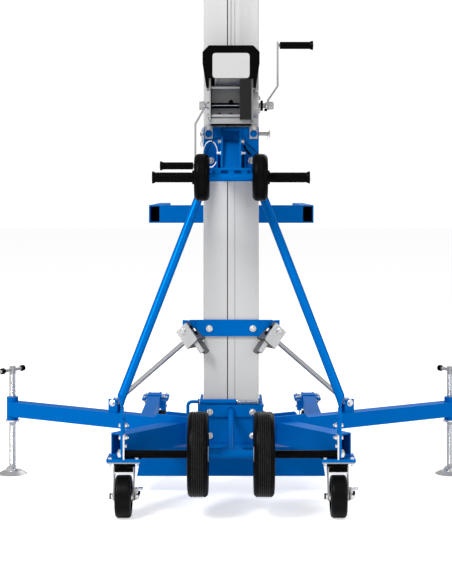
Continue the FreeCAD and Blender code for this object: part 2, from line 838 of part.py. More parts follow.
def build_column(number, start, low):
    """One mast column: a hollow box with a track in front and a tongue behind."""
    body = document.addObject("PartDesign::Body", f"column_{number}_body")
    document.recompute()
    sketch = outline(body, f"column_{number}_outline", "XY_Plane", column_loops(number > 1))
    pad = body.newObject("PartDesign::Pad", f"column_{number}_pad")
    pad.Profile = sketch
    bind(pad, Length=f"mast_top - ({low})")
    set_place(body, "0", start, low)
    return body


def build_mast():
    """The fixed rear column, the three that rise before it and the lock bar."""
    first = build_column(1, "mast_rear", "foot_low")
    notch = block("sheave_notch", ("-sheave_width / 2 - 3", "sheave_width / 2 + 3"),
                  ("mast_rear - 1", "mast_rear + column_box + 1"),
                  ("sheave_height - sheave_radius - 8", "mast_top + 1"))
    bore = rod("column_pin_bore", "pin_radius", ("-120", "pin_back", "pin_height"), "250", "X")
    keep(cut("column_1_bored", cut("column_1_notched", first, notch), bore), "column_1")
    for number in (2, 3, 4):
        keep(build_column(number, f"mast_rear + {number - 1} * column_pitch",
                          "foot_low + seat_gap"), f"column_{number}")
    plate_rear = "mast_rear - seat_gap - foot_plate"
    bar = prism("lock_bar_plate", "XZ",
                [[("-lock_bar_bottom_half", "lock_bar_low"),
                  ("lock_bar_bottom_half", "lock_bar_low"),
                  ("lock_bar_top_half", "lock_bar_low + lock_bar_height"),
                  ("-lock_bar_top_half", "lock_bar_low + lock_bar_height")]],
                plate_rear, "foot_plate")
    ears = []
    depth = ("box_back + box_plate + seat_gap", "box_back + box_plate + seat_gap + box_ear_plate")
    ear = block("box_ear", ("box_pivot_out - 12", "box_pivot_out + 11.7"), depth,
                ("box_pivot_height - 10.5", "lock_bar_low + lock_bar_height - 2"), local=True)
    neck = block("box_ear_neck", ("box_pivot_out - 33", "box_pivot_out"), depth,
                 ("box_pivot_height + 6.5", "lock_bar_low + lock_bar_height - 2"), local=True)
    bolt = rod("box_ear_bore", "box_bolt_radius",
               ("box_pivot_out", "box_back", "box_pivot_height"), "20", "Y", local=True)
    placed = stand_in_arm_plane(cut("box_ear_right", fused("box_ear_blank", ear, neck), bolt))
    trim = block("bar_ahead", ("-column_half - 2", "column_half + 2"),
                 ("mast_rear - seat_gap", "mast_rear + 60"), ("400", "700"))
    clear = cut("box_ear_trimmed", placed, trim)
    ears.append(clear)
    other = document.addObject("Part::Mirroring", "box_ear_left")
    other.Source = clear
    other.Normal = (1, 0, 0)
    ears.append(other)
    keep(fused("lock_bar_weld", bar, *ears), "lock_bar")


def build_stabilisers():
    """Each stabiliser: arm with lug and jack, its brace rod and its latch box."""
    arm = prism(
        "arm_tube", "XZ",
        [[("arm_hinge_out", "arm_low"), ("arm_reach", "arm_low"),
          ("arm_reach", "arm_low + arm_height"), ("arm_hinge_out", "arm_low + arm_height")]],
        "-arm_width / 2", "arm_width", local=True)
    knuckle = rod("arm_knuckle", "arm_height / 2",
                  ("arm_hinge_out", "-arm_width / 2", "arm_middle"), "arm_width", "Y", local=True)
    bore = rod("arm_bore", "arm_pin_radius + shaft_gap",
               ("arm_hinge_out", "-arm_width / 2 - 1", "arm_middle"), "arm_width + 2", "Y",
               local=True)
    lugs = []
    for name, start in (("rear", "-rod_radius - 5 - lug_plate"), ("front", "rod_radius + 5")):
        lugs.append(block(f"lug_{name}", ("lug_out - lug_width / 2", "lug_out + lug_width / 2"),
                          (start, f"{start} + lug_plate"),
                          ("arm_low + arm_height - 1", "lug_pin_height + 12"), local=True))
    pin = rod("lug_pin", "lug_pin_radius",
              ("lug_out", "-rod_radius - 5 - lug_plate - 4", "lug_pin_height"),
              "2 * (rod_radius + 5 + lug_plate + 4)", "Y", local=True)
    sleeve = rod("jack_sleeve", "jack_sleeve_radius", ("arm_reach", "0", "arm_low - 14"),
                 "arm_height + 30", "Z", local=True)
    weld = fused("arm_weld", arm, knuckle, *lugs, pin, sleeve)
    pair(stand_in_arm_plane(cut("arm_bored", weld, fused("arm_bores", bore, rod(
        "jack_bore", "jack_radius", ("arm_reach", "0", "arm_low - 20"), "arm_height + 60", "Z",
        local=True)))), "stabiliser_arm")

    screw = rod("jack_screw", "jack_radius", ("arm_reach", "0", "jack_pad_height - 1"),
                "jack_top - jack_pad_height + 1", "Z", local=True)
    pad = document.addObject("Part::Cone", "jack_pad")
    bind(pad, Radius1="jack_pad_radius", Radius2="jack_pad_radius * 0.6", Height="jack_pad_height")
    set_place(pad, "arm_reach", "0", "0", local=True)
    handle = rod("jack_handle", "jack_handle_radius",
                 ("arm_reach", "-jack_handle_half", "jack_top - jack_handle_radius - 6"),
                 "2 * jack_handle_half", "Y", local=True)
    pair(stand_in_arm_plane(fused("jack_weld", screw, pad, handle)), "jack")

    build_brace_rod()
    build_latch_box()


def build_brace_rod():
    """The round brace from the arm's lug up to the latch box."""
    run = value("rod_tip_out - lug_out")
    rise = value("rod_tip_height - lug_pin_height")
    length = math.hypot(run, rise)
    shaft = document.addObject("Part::Cylinder", "brace_shaft")
    bind(shaft, Radius="rod_radius")
    shaft.Height = length
    shaft.Placement.Rotation = Rotation(Vector(0, 1, 0), math.degrees(math.atan2(run, rise)))
    set_place(shaft, "lug_out", "0", "lug_pin_height", local=True)
    eye = rod("brace_eye", "lug_pin_radius + 6", ("lug_out", "-eye_half", "lug_pin_height"),
              "2 * eye_half", "Y", local=True)
    bore = rod("brace_eye_bore", "lug_pin_radius + shaft_gap",
               ("lug_out", "-eye_half - 1", "lug_pin_height"), "2 * eye_half + 2", "Y",
               local=True)
    pair(stand_in_arm_plane(cut("brace_bored", fused("brace_rod_weld", shaft, eye), bore)),
         "brace_rod")


def build_latch_box():
    """The pressed latch boxes, open towards their bolts so that the rods can swing out."""
    tail = "box_length - box_head"
    half = "box_width / 2"
    inside = "box_back + box_plate"
    web = block("box_web", ("-box_head", tail), ("box_back", inside), (f"-{half}", half), local=True)
    near = block("box_near_wall", ("-box_head", tail), ("box_back", "2 * rod_radius"),
                 (f"{half} - box_plate", half), local=True)
    slot = block("box_slot", ("-box_head - 1", "box_slot_length"), ("-rod_radius - 5.5", "40"),
                 (f"{half} - box_plate - 1", f"{half} + 1"), local=True)
    far = block("box_far_wall", ("box_head + 3", tail), ("box_back", "0"),
                (f"-{half}", f"box_plate - {half}"), local=True)
    end = block("box_end_wall", (f"{tail} - box_plate", tail), ("box_back", "0"),
                (f"-{half}", half), local=True)
    tongue = block("box_tongue", (f"{tail} - box_plate", f"{tail} + box_tongue_length"), ("-10", "-5"),
                   ("-box_tongue_width / 2", "box_tongue_width / 2"), local=True)
    bolt = rod("box_bolt", "box_bolt_radius", ("0", "box_back - 4", "0"),
               "4 + box_plate + seat_gap + box_ear_plate + 3", "Y", local=True)
    head = rod("box_bolt_head", "box_bolt_radius + 3", ("0", "box_back - 4", "0"), "4", "Y",
               local=True)
    shell = fused("box_shell", web, cut("box_near_slotted", near, slot), far, end, tongue, bolt,
                  head)
    shell.Placement.Rotation = Rotation(Vector(0, 1, 0), value("box_tilt"))
    set_place(shell, "box_pivot_out", "0", "box_pivot_height", local=True)
    placed = document.addObject("Part::Compound", "box_placed")
    placed.Links = [shell]
    both_sides("latch_box", stand_in_arm_plane(placed), "latch_boxes")


def build_handle_frame():
    """The two tubes from the rear corners up to the bracket, flattened at both ends."""
    foot = Vector(value("frame_foot_across"), value("axle_back"), value("frame_bend_height"))
    head = Vector(value("frame_top_across"),
                  value("foot_rear - frame_tube_flat - seat_gap / 3"), value("frame_top_height"))
    radius = value("frame_tube_radius")
    half = value("frame_tube_flat_half")
    thin = value("frame_tube_flat")
    neck = value("frame_neck_length")
    lean = head - foot
    tube = Part.makeCylinder(radius, lean.Length - neck, foot, lean)
    shoulder = foot + Vector(lean).normalize() * (lean.Length - neck)
    low_flat = Vector(foot.x, foot.y, value("frame_flat_height"))
    low_ring = flat_ring(low_flat, thin, half)
    drop = Vector(0, 0, value("beam_low + 4") - low_flat.z)
    low_blade = Part.Face(low_ring).extrude(drop)
    bend_ring = Part.Wire([Part.makeCircle(radius, foot, Vector(0, 0, 1))])
    low_neck = Part.makeLoft([low_ring, bend_ring], True)
    top_ring = flat_ring(head, half, thin)
    top_blade = Part.Face(top_ring).extrude(Vector(0, 0, value("frame_tip_height") - head.z))
    tube_ring = Part.Wire([Part.makeCircle(radius, shoulder, lean)])
    top_neck = Part.makeLoft([tube_ring, top_ring], True)
    pieces = [low_neck, Part.makeSphere(radius, foot), tube, top_neck, top_blade]
    bore = Part.makeCylinder(value("axle_radius"), 2 * radius,
                             Vector(foot.x - radius, foot.y, value("axle_height")), Vector(1, 0, 0))
    shape = low_blade.multiFuse(pieces).removeSplitter().cut(bore)
    right = from_shape(shape, "handle_frame_right")
    mirrored(right, "handle_frame_left")


def build_handle():
    """The handle bar with its grips, loading wheels and the bracket that carries them."""
    keep(rod("handle_tube", "bar_radius", ("-bar_half", "bar_back", "bar_height"),
             "2 * bar_half", "X"), "handle_bar")
    grip = turned(
        "grip_sleeve",
        [("grip_inner", "bar_radius"), ("bar_half + 1", "bar_radius"),
         ("bar_half + 1", "grip_radius + grip_flare"), ("bar_half - 3", "grip_radius + grip_flare"),
         ("bar_half - 10", "grip_radius"), ("grip_inner", "grip_radius")],
        ("0", "bar_back", "bar_height"))
    both_sides("grip", grip, "handle_grips")
    wheel = build_wheel("loading_tyre", "loading_radius", "loading_width",
                        "bar_radius + shaft_gap", "21", "44", "5", "loading_shoulder",
                        ("loading_across", "bar_back", "bar_height"))
    pair(wheel, "loading_wheel")

    back = block("bracket_back", ("-column_half", "column_half"),
                 ("bracket_rear", "bracket_rear + bracket_plate"), ("bracket_low", "bracket_high"))
    shelf = prism(
        "bracket_shelf", "XY",
        [[("-shelf_half", "bar_back - 6"), ("shelf_half", "bar_back - 6"),
          ("shelf_half", "shelf_taper_back - 60"), ("shelf_rear_half", "shelf_taper_back"),
          ("shelf_rear_half", "bracket_rear"), ("-shelf_rear_half", "bracket_rear"),
          ("-shelf_rear_half", "shelf_taper_back"), ("-shelf_half", "shelf_taper_back - 60")]],
        "shelf_low", "shelf_plate")
    lugs = []
    for name, x in (("left", "-40"), ("middle", "0"), ("right", "40")):
        lugs.append(block(f"bracket_lug_{name}", (f"{x} - 9", f"{x} + 9"),
                          ("bar_back - 4", "bar_back + 4"), ("bar_height", "shelf_low")))
    rise = "shelf_low + shelf_plate"
    rear = "bracket_rear - middle"
    walls = []
    for name, start in (("left", "-bracket_wall_across - bracket_wall"),
                        ("right", "bracket_wall_across")):
        walls.append(prism(
            f"bracket_wall_{name}", "YZ",
            [[(rear, rise), (rear, "bracket_high - 4"), (f"{rear} - 16", "bracket_high - 4"),
              ("bar_back + 3 - middle", f"{rise} + 14"), ("bar_back + 3 - middle", rise)]],
            start, "bracket_wall", local=True))
    cover = prism(
        "bracket_cover", "YZ",
        [[(rear, "bracket_cover_top"), (rear, "bracket_cover_top - 7"),
          ("bar_back + 12 - middle", rise), ("bar_back + 3 - middle", rise),
          (f"{rear} - 50", "bracket_cover_top - 4")]],
        "-bracket_wall_across", "2 * bracket_wall_across", local=True)
    strip = block("bracket_strip", ("-bracket_wall_across", "bracket_wall_across"),
                  ("bracket_rear - 15", "bracket_rear"), ("bracket_high - 12", "bracket_high - 5"))
    gussets = []
    for side, start in (("left", "-bracket_gusset_across - bracket_wall"),
                        ("right", "bracket_gusset_across")):
        gussets.append(prism(
            f"bracket_gusset_{side}", "YZ",
            [[(rear, rise), (rear, f"{rise} + 50"), (f"{rear} - 24", f"{rise} + 50"),
              (f"{rear} - 96", rise)]],
            start, "bracket_wall", local=True))
    weld = fused("bracket_weld", back, shelf, cover, strip, *lugs, *walls, *gussets)
    tube = rod("bar_bore", "bar_radius", ("-100", "bar_back", "bar_height"), "200", "X")
    keep(cut("bracket_bored", weld, tube), "handle_bracket")

    tab = block("bracket_tab", ("tab_across - tab_width / 2", "tab_across + tab_width / 2"),
                ("bracket_rear - tab_plate", "bracket_rear"), ("tab_low", "tab_high"))
    hole = rod("tab_hole", "tab_hole_radius",
               ("tab_across", "bracket_rear - tab_plate - 1", "tab_low + tab_hole_radius + 5"),
               "tab_plate + 1", "Y")
    both_sides("bracket_tab", cut("tab_pierced", tab, hole), "bracket_tabs")
    keep(rod("pin_rod", "pin_radius", ("-pin_left", "pin_back", "pin_height"),
             "pin_left + pin_right", "X"), "hold_pin")


def build_winch():
    """The hand winch: side plates, brake housing, drum, covers and hood."""
    rear = "mast_rear - seat_gap - winch_plate"
    back = block("winch_back", ("-winch_half", "winch_half"), (rear, f"{rear} + winch_plate"),
                 ("winch_low", "winch_high"))
    sides = []
    for name, start in (("left", "-winch_half"), ("right", "winch_half - winch_plate")):
        sides.append(prism(
            f"winch_side_{name}", "YZ",
            [[(f"{rear} - middle", "winch_low"), (f"{rear} - middle", "winch_high"),
              ("winch_rear + 22 - middle", "winch_high"), ("winch_rear - middle", "winch_high - 30"),
              ("winch_rear - middle", "winch_low + 12"), ("winch_rear + 12 - middle", "winch_low")]],
            start, "winch_plate", local=True))
    strip = block("winch_strip_bar", ("-winch_half", "winch_half"),
                  ("winch_rear + 8", "winch_rear + 8 + winch_plate"),
                  ("winch_low", "winch_low + winch_strip"))
    rods = []
    for name, along, height in (("upper", "winch_rear + 20", "1300"),
                                ("lower", "winch_rear + 12", "1212")):
        rods.append(rod(f"winch_rod_{name}", "5", ("-winch_half", along, height),
                        "2 * winch_half", "X"))
    housing = rod("brake_housing", "brake_radius", ("winch_half", "crank_back", "crank_height"),
                  "brake_width", "X")
    frame = fused("winch_frame_weld", back, *sides, strip, *rods, housing)
    bores = fused("winch_bores",
                  rod("crank_bore", "crank_shaft_radius + shaft_gap",
                      ("-100", "crank_back", "crank_height"), "200", "X"),
                  rod("drum_bore", "drum_journal + shaft_gap",
                      ("-100", "drum_back", "drum_height"), "200", "X"))
    keep(cut("winch_frame_bored", frame, bores), "winch_frame")

    keep(turned(
        "drum_body",
        [("1 - winch_half", "0"), ("winch_half - 1", "0"), ("winch_half - 1", "drum_journal"),
         ("drum_half", "drum_journal"), ("drum_half", "drum_flange"),
         ("drum_half - drum_flange_plate", "drum_flange"),
         ("drum_half - drum_flange_plate", "drum_wound"),
         ("drum_flange_plate - drum_half", "drum_wound"),
         ("drum_flange_plate - drum_half", "drum_flange"), ("-drum_half", "drum_flange"),
         ("-drum_half", "drum_journal"), ("1 - winch_half", "drum_journal")],
        ("0", "drum_back", "drum_height")), "winch_drum")
    build_covers()
    build_crank()


def build_covers():
    """The winch's gear cover, hood and blank plate."""
    gear = prism(
        "gear_box", "YZ",
        [[("74 - middle", "1200"), ("96 - middle", "1200"), ("126 - middle", "1222"),
          ("126 - middle", "1284"), ("85 - middle", "1292"), ("85 - middle", "1324"),
          ("74 - middle", "1324")]],
        "cover_inner", "cover_outer - cover_inner", local=True)
    rods = []
    for along, height in (("winch_rear + 20", "1300"), ("winch_rear + 12", "1212")):
        rods.append(rod("cover_rod_bore", "5", ("0", along, height), "100", "X"))
    strip = block("cover_strip_space", ("0", "winch_half"), ("winch_rear + 7.7", "winch_rear + 30"),
                  ("winch_low - 1", "winch_low + winch_strip + 0.3"))
    keep(cut("gear_cover_cut", gear, fused("cover_bores", *rods, strip)), "winch_gear_cover")

    half = "hood_half"
    side = "hood_half - hood_side"
    right = [(side, "1318"), ("hood_half - 19", "1297"), ("hood_half - 12", "1297"),
             (half, "1372"), (half, "hood_high - 20"), (f"{half} - 20", "hood_high")]
    left = [(f"-({x})", z) for x, z in reversed(right)]
    arch = prism("hood_arch", "XZ",
                 [right + left + [(f"-({side})", "hood_high - 28"), (side, "hood_high - 28")]],
                 "hood_rear", "hood_depth")
    panel = block("hood_panel", (f"-({side})", side), ("hood_rear", "hood_rear + 4"),
                  ("1326", "hood_high - 28"))
    slot = block("hood_slot", ("-9", "9"), ("sheave_back - sheave_radius - 12", "hood_rear + hood_depth + 1"),
                 ("1350", "hood_high + 1"))
    keep(cut("hood_slotted", fused("hood_weld", arch, panel), slot), "winch_hood")
    right = []
    for edge, way in (("name_plate_low", "1"), ("name_plate_high", "-1")):
        bend = [("name_plate_corner", "0"), ("name_plate_corner * 0.5", "name_plate_corner * 0.134"),
                ("name_plate_corner * 0.134", "name_plate_corner * 0.5"), ("0", "name_plate_corner")]
        if way == "-1":
            bend.reverse()
        for inset, rise in bend:
            right.append((f"name_plate_half - {inset}", f"{edge} + {way} * {rise}"))
    left = [(f"-({x})", z) for x, z in reversed(right)]
    keep(prism("name_plate_sheet", "XZ", [right + left], "hood_rear - name_plate", "name_plate"),
         "winch_plate")


def crank_arm(side, way, inner, outer, low, high):
    """A bent flat arm: corners run out from the hub along one way of Z."""
    def corner(across, rise):
        return (f"{side} * ({across})", f"crank_height + {way} * ({rise})")
    half = "crank_bar / 2"
    corners = [
        corner(f"{inner} - {half}", "-crank_hub_radius - 3"),
        corner(f"{inner} + {half}", "-crank_hub_radius - 3"),
        corner(f"{inner} + {half}", low),
        corner(f"{outer} + {half}", high),
        corner(f"{outer} + {half}", "crank_throw + 11"),
        corner(f"{outer} - {half}", "crank_throw + 11"),
        corner(f"{outer} - {half}", f"{high} + 2"),
        corner(f"{inner} - {half}", f"{low} + 2"),
    ]
    return prism(f"crank_arm{side}", "XZ", [corners],
                 "crank_back - crank_bar_width / 2", "crank_bar_width")


def build_crank():
    """The crank: shaft, hubs, two bent arms half a turn apart and their grips."""
    axis = ("crank_back", "crank_height")
    pieces = [
        rod("crank_shaft", "crank_shaft_radius", ("-99", *axis), "99 + 132", "X"),
        rod("crank_hub_left", "crank_hub_radius", ("-100", *axis), "16", "X"),
        rod("crank_collar", "crank_hub_radius + 4", ("winch_half + brake_width + 6", *axis), "9", "X"),
        rod("crank_hub_right", "crank_hub_radius + 1", ("108", *axis), "25", "X"),
        crank_arm("-1", "-1", "crank_left_inner", "crank_left", "16", "56"),
        crank_arm("1", "1", "crank_right_inner", "crank_right", "16", "60"),
    ]
    grips = []
    for side, way, outer in (("-1", "-1", "crank_left"), ("1", "1", "crank_right")):
        reach = "crank_grip_length + 14"
        start = outer if side == "1" else f"-{outer} - ({reach})"
        end = f"crank_height + {way} * crank_throw"
        pieces.append(rod(f"crank_stub{side}", "crank_stub_radius",
                          (start, "crank_back", end), reach, "X"))
        sleeve = turned(
            f"crank_grip{side}",
            [("crank_bar / 2 + 4", "crank_stub_radius"),
             ("crank_grip_length + 13", "crank_stub_radius"),
             ("crank_grip_length + 13", "crank_grip_radius + 3"),
             ("crank_grip_length + 9", "crank_grip_radius + 3"),
             ("crank_grip_length + 2", "crank_grip_radius"),
             ("crank_bar / 2 + 4", "crank_grip_radius")],
            (f"{side} * {outer}", "crank_back", end))
        if side == "-1":
            sleeve.Placement.Rotation = Rotation(Vector(0, 0, 1), 180)
        grips.append(sleeve)
    keep(fused("crank_weld", *pieces), "winch_crank")
    group = document.addObject("Part::Compound", "crank_grip_set")
    group.Links = grips
    keep(group, "crank_grips")


def build_mast_head():
    """The sheave over the rear column and the lift cable up from the drum."""
    rear = "mast_rear - seat_gap"
    cheeks = []
    for name, start in (("left", "-sheave_width / 2 - 2 - 5"), ("right", "sheave_width / 2 + 2")):
        cheeks.append(block(f"head_cheek_{name}", (start, f"{start} + 5"), ("sheave_back - 34", rear),
                            ("sheave_height - 45", "mast_top")))
    flanges = []
    for name, x in (("left", ("-50", "-sheave_width / 2 - 2")),
                    ("right", ("sheave_width / 2 + 2", "50"))):
        flanges.append(block(f"head_flange_{name}", x, (f"{rear} - 5", rear),
                             ("sheave_height - 45", "mast_top")))
    pin = rod("head_pin", "6", ("-sheave_width / 2 - 11", "sheave_back", "sheave_height"),
              "sheave_width + 22", "X")
    keep(fused("head_weld", *cheeks, *flanges, pin), "mast_head")
    half = "sheave_width / 2"
    keep(turned(
        "sheave_body",
        [(f"-{half}", "6"), (half, "6"), (half, "sheave_radius"), ("3", "sheave_radius - 4"),
         ("-3", "sheave_radius - 4"), (f"-{half}", "sheave_radius")],
        ("0", "sheave_back", "sheave_height")), "mast_sheave")
    run = "sheave_back - sheave_radius + 4 - cable_radius"
    keep(rod("cable_run", "cable_radius", ("0", run, "drum_height"),
             "sheave_height - drum_height", "Z"), "lift_cable")


def build_carriage():
    """The carriage in the front column's track and the fork frame pinned to it."""
    low = "foot_low + seat_gap"
    right = column_corners(True)[:6] + [
        ("carriage_half", "0"), ("carriage_half", "carriage_depth"),
        ("carriage_half - 14", "carriage_depth"), ("carriage_half - 14", "carriage_depth - 5"),
        ("carriage_half - 6", "carriage_depth - 5"), ("carriage_half - 6", "8")]
    left = [(f"-({x})", y) for x, y in reversed(right)]
    body = prism("carriage_body", "XY", [right + left], low, "carriage_height", local=True)
    set_place(body, "0", "carriage_rear", low)
    keep(body, "carriage")

    uprights = []
    for side, sign in (("left", "-1"), ("right", "1")):
        x = (f"{sign} * upright_across - upright_side / 2",
             f"{sign} * upright_across + upright_side / 2")
        uprights.append(block(f"upright_{side}", x, ("carriage_front", "fork_rear"),
                              ("fork_top - upright_length", "fork_top")))
    forks = []
    for side, sign in (("left", "-1"), ("right", "1")):
        x = (f"{sign} * fork_across - fork_width / 2", f"{sign} * fork_across + fork_width / 2")
        hollow = (f"{x[0]} + fork_wall", f"{x[1]} - fork_wall")
        outer = block(f"fork_outer_{side}", x, ("fork_rear", "fork_rear + fork_length"),
                      ("fork_low", "fork_top"))
        inner = block(f"fork_inner_{side}", hollow, ("fork_rear - 1", "fork_rear + fork_length - 5"),
                      ("fork_low + fork_wall", "fork_top - fork_wall"))
        forks.append(cut(f"fork_tube_{side}", outer, inner))
    cross = block("fork_cross", ("fork_width / 2 - fork_across", "fork_across - fork_width / 2"),
                  ("fork_rear", "fork_rear + fork_width"), ("fork_low", "fork_top"))
    keep(fused("fork_weld", cross, *uprights, *forks), "fork_frame")
    pins = []
    for number, height in enumerate(("fork_top - upright_length + 60",
                                     "foot_low + carriage_height - 40")):
        pins.append(block(f"fork_clamp_{number}", ("-carriage_half", "carriage_half"),
                          ("fork_rear", "fork_rear + 6"), (f"{height} - 18", f"{height} + 18")))
    keep(fused("fork_clamps_set", *pins), "fork_clamps")


def build_latch_rod():
    """The spring latch rod along the top of the mast foot, with its bent handle."""
    y = "foot_rear - foot_plate / 2"
    z = "foot_high + 9"
    bar = rod("latch_bar", "4.5", ("-137", y, z), "137 + 86", "X")
    bend = rod("latch_bend", "4.5", ("-137", y, f"{z} - 43"), "43", "Z")
    knee = document.addObject("Part::Sphere", "latch_knee")
    knee.Radius = 4.5
    set_place(knee, "-137", y, z)
    tube = rod("latch_tube", "7", ("-100", y, z), "116", "X")
    lugs = [block("latch_lug_left", ("-106", "-101.5"), ("foot_rear - foot_plate", "foot_rear"),
                  ("foot_high - 20", "foot_high + 18")),
            block("latch_lug_right", ("86", "90"), ("foot_rear - foot_plate", "foot_rear"),
                  ("foot_high", "foot_high + 18"))]
    keep(fused("latch_weld", bar, bend, knee, tube, *lugs), "latch_rod")


def check(item):
    """Stop at an object that failed or has no sound shape."""
    if "Invalid" in item.State or "Error" in item.State:
        raise RuntimeError(f"{item.Label} is {item.State}")
    if hasattr(item, "Shape") and item in parts:
        if item.Shape.isNull() or not item.Shape.isValid():
            raise RuntimeError(f"{item.Label} has no sound shape")


def main():
    """Build every sub-part, check it and write its STEP file."""
    fill_sheet()
    build_crossbeam()
    build_mast_foot()
    build_rear_beams()
    build_stabiliser_ears()
    build_corner_leaves()
    build_axle()
    build_transport_wheels()
    build_front_legs()
    build_casters()
    build_mast()
    build_stabilisers()
    build_handle_frame()
    build_handle()
    build_winch()
    build_mast_head()
    build_carriage()
    build_latch_rod()
    document.recompute()
    for item in document.Objects:
        check(item)
    os.makedirs("parts", exist_ok=True)
    for item in parts:
        item.Shape.exportStep(os.path.join("parts", item.Label + ".step"))
    box = FreeCAD.BoundBox()
    for item in parts:
        box.add(item.Shape.BoundBox)
    print(len(parts), "sub-parts", box)


main()
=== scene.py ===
"""Looks of a hand-winched material lift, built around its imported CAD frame."""

import json
import logging
import math
from dataclasses import dataclass
from enum import Enum
from typing import Callable, Mapping, Sequence

import bmesh
import bpy
from mathutils import Matrix, Vector


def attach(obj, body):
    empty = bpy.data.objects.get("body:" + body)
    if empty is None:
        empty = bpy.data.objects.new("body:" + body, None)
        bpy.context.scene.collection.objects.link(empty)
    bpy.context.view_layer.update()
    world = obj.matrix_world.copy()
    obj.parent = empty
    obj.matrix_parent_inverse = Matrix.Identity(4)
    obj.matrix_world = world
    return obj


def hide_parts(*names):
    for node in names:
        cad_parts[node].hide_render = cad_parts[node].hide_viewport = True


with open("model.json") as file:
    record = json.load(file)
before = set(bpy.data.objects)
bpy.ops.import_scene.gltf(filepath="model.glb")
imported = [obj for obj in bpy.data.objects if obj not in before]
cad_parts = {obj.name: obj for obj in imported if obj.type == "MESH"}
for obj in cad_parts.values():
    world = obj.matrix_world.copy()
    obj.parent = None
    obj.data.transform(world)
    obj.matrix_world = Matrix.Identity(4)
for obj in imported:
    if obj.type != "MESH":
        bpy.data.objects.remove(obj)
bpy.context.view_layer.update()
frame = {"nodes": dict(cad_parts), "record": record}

Mesh = bmesh.types.BMesh
Tree = bpy.types.NodeTree
Socket = bpy.types.NodeSocket
Point = Sequence[float]
Profile = list[tuple[float, float]]
Triple = tuple[float, float, float]

LOG = logging.getLogger("material_lift")
# The pieces below are drawn in millimetres in the CAD source's own frame, where
# Y is counted from the plane of the rear corners.
MIDDLE = 567.75
MACHINE = Matrix.Scale(0.001, 4) @ Matrix.Translation((0, -MIDDLE, 0))
MIRROR = Matrix.Scale(-1, 4, (1, 0, 0))
SIDES = (("left", -1), ("right", 1))
X_WAY, Y_WAY, Z_WAY = Vector((1, 0, 0)), Vector((0, 1, 0)), Vector((0, 0, 1))
# The upright plane in which the right-hand stabiliser folds.
ARM_ROOT = (158.0, 259.5, 0.0)
ARM_SWEEP = 31.0


class Finish(Enum):
    """Named finishes of the machine."""

    BLUE = "blue_paint"
    MAST = "mast_metal"
    ZINC = "zinc"
    BLACK_STEEL = "black_steel"
    RUBBER = "black_rubber"
    TYRE = "tyre_rubber"
    PLATE = "plate_grey"
    COVER = "grey_black_sheet"
    DARK_ZINC = "zinc_painted_shade"
    WORN_TYRE = "rough_tyre"
    BRIGHT = "bright_zinc"
    HUB = "hub_grey"
    NYLON = "white_nylon"


class Shader(Enum):
    """Shared surface effects, each one a node group."""

    EDGE_WEAR = "edge_wear"
    FILM = "surface_film"
    BRUSHED = "brushed_streaks"
    PEEL = "paint_peel"


@dataclass(frozen=True)
class Surface:
    """The look of one finish.

    Args:
        slot: The record's material slot that it belongs to; not used.
        colour: Base colour, linear red, green and blue.
        roughness: Mean roughness.
        metallic: 1 for bare metal.
        specular: Strength of the mirror-like reflection.
        edge_colour: Triple of worn edges, and of the painted highlight along edges.
        edge: Strength of the wear and of the painted highlight along edges.
        film: Strength of the dusty film.
        bump: Strength of the fine surface relief.
        relief_scale: Scale of that relief.
        streaks: Strength of brushed streaks along Z.
    """

    slot: str
    colour: Triple
    roughness: float = 0.4
    metallic: float = 0.0
    specular: float = 0.5
    edge_colour: Triple = (0.6, 0.6, 0.6)
    edge: float = 0.0
    film: float = 0.1
    bump: float = 0.05
    relief_scale: float = 900.0
    streaks: float = 0.0


SURFACES: dict[Finish, Surface] = {
    # The blue's light edge colour is a painted highlight along its edges, standing in for the
    # paint's shine.
    Finish.BLUE: Surface("blue_paint", (0.0, 0.125, 0.46), 0.34, metallic=0.3, specular=0.0,
                         edge_colour=(0.0, 0.33, 0.8), edge=0.25, film=0.0, bump=0.04),
    Finish.MAST: Surface("mast_metal", (0.56, 0.56, 0.56), 0.45, metallic=0.2, specular=0.3,
                         edge=0.2, film=0.04, bump=0.02, relief_scale=1200.0, streaks=0.08),
    Finish.ZINC: Surface("zinc", (0.42, 0.42, 0.42), 0.36, metallic=0.6, edge=0.3, film=0.06,
                         bump=0.05, relief_scale=1100.0, streaks=0.1),
    # A darker copy of zinc for the latch boxes' walls: painted shade.
    Finish.DARK_ZINC: Surface("zinc", (0.13, 0.13, 0.13), 0.4, metallic=0.4, specular=0.2,
                              edge_colour=(0.4, 0.4, 0.4), edge=0.3, film=0.02, bump=0.05),
    Finish.WORN_TYRE: Surface("tyre_rubber", (0.002, 0.002, 0.002), 0.36, specular=0.09,
                              edge_colour=(0.06, 0.06, 0.06), edge=0.5, film=0.0, bump=0.9,
                              relief_scale=260.0),
    Finish.BLACK_STEEL: Surface("black_steel", (0.0015, 0.0015, 0.0016), 0.35, specular=0.035,
                                edge_colour=(0.03, 0.03, 0.03), edge=0.2, film=0.0, bump=0.05),
    Finish.COVER: Surface("black_steel", (0.012, 0.012, 0.0125), 0.5, specular=0.1,
                          edge_colour=(0.08, 0.08, 0.08), edge=0.3, film=0.01, bump=0.05),
    Finish.RUBBER: Surface("black_rubber", (0.0012, 0.0012, 0.0013), 0.4, specular=0.035,
                           edge_colour=(0.02, 0.02, 0.02), edge=0.2, film=0.0, bump=0.12),
    Finish.TYRE: Surface("tyre_rubber", (0.0015, 0.0015, 0.0016), 0.35, specular=0.05,
                         edge_colour=(0.08, 0.08, 0.08), edge=0.5, film=0.0, bump=0.12),
    Finish.PLATE: Surface("plate_grey", (0.47, 0.47, 0.47), 0.5, specular=0.1, edge=0.1,
                          film=0.02, bump=0.01),
    Finish.BRIGHT: Surface("zinc", (0.8, 0.8, 0.8), 0.22, metallic=0.95, edge=0.2, film=0.05,
                           bump=0.02),
    Finish.HUB: Surface("zinc", (0.42, 0.42, 0.43), 0.45, metallic=0.2, edge=0.3, film=0.1),
    Finish.NYLON: Surface("plate_grey", (0.85, 0.85, 0.85), 0.4, film=0.03, bump=0.02),
}

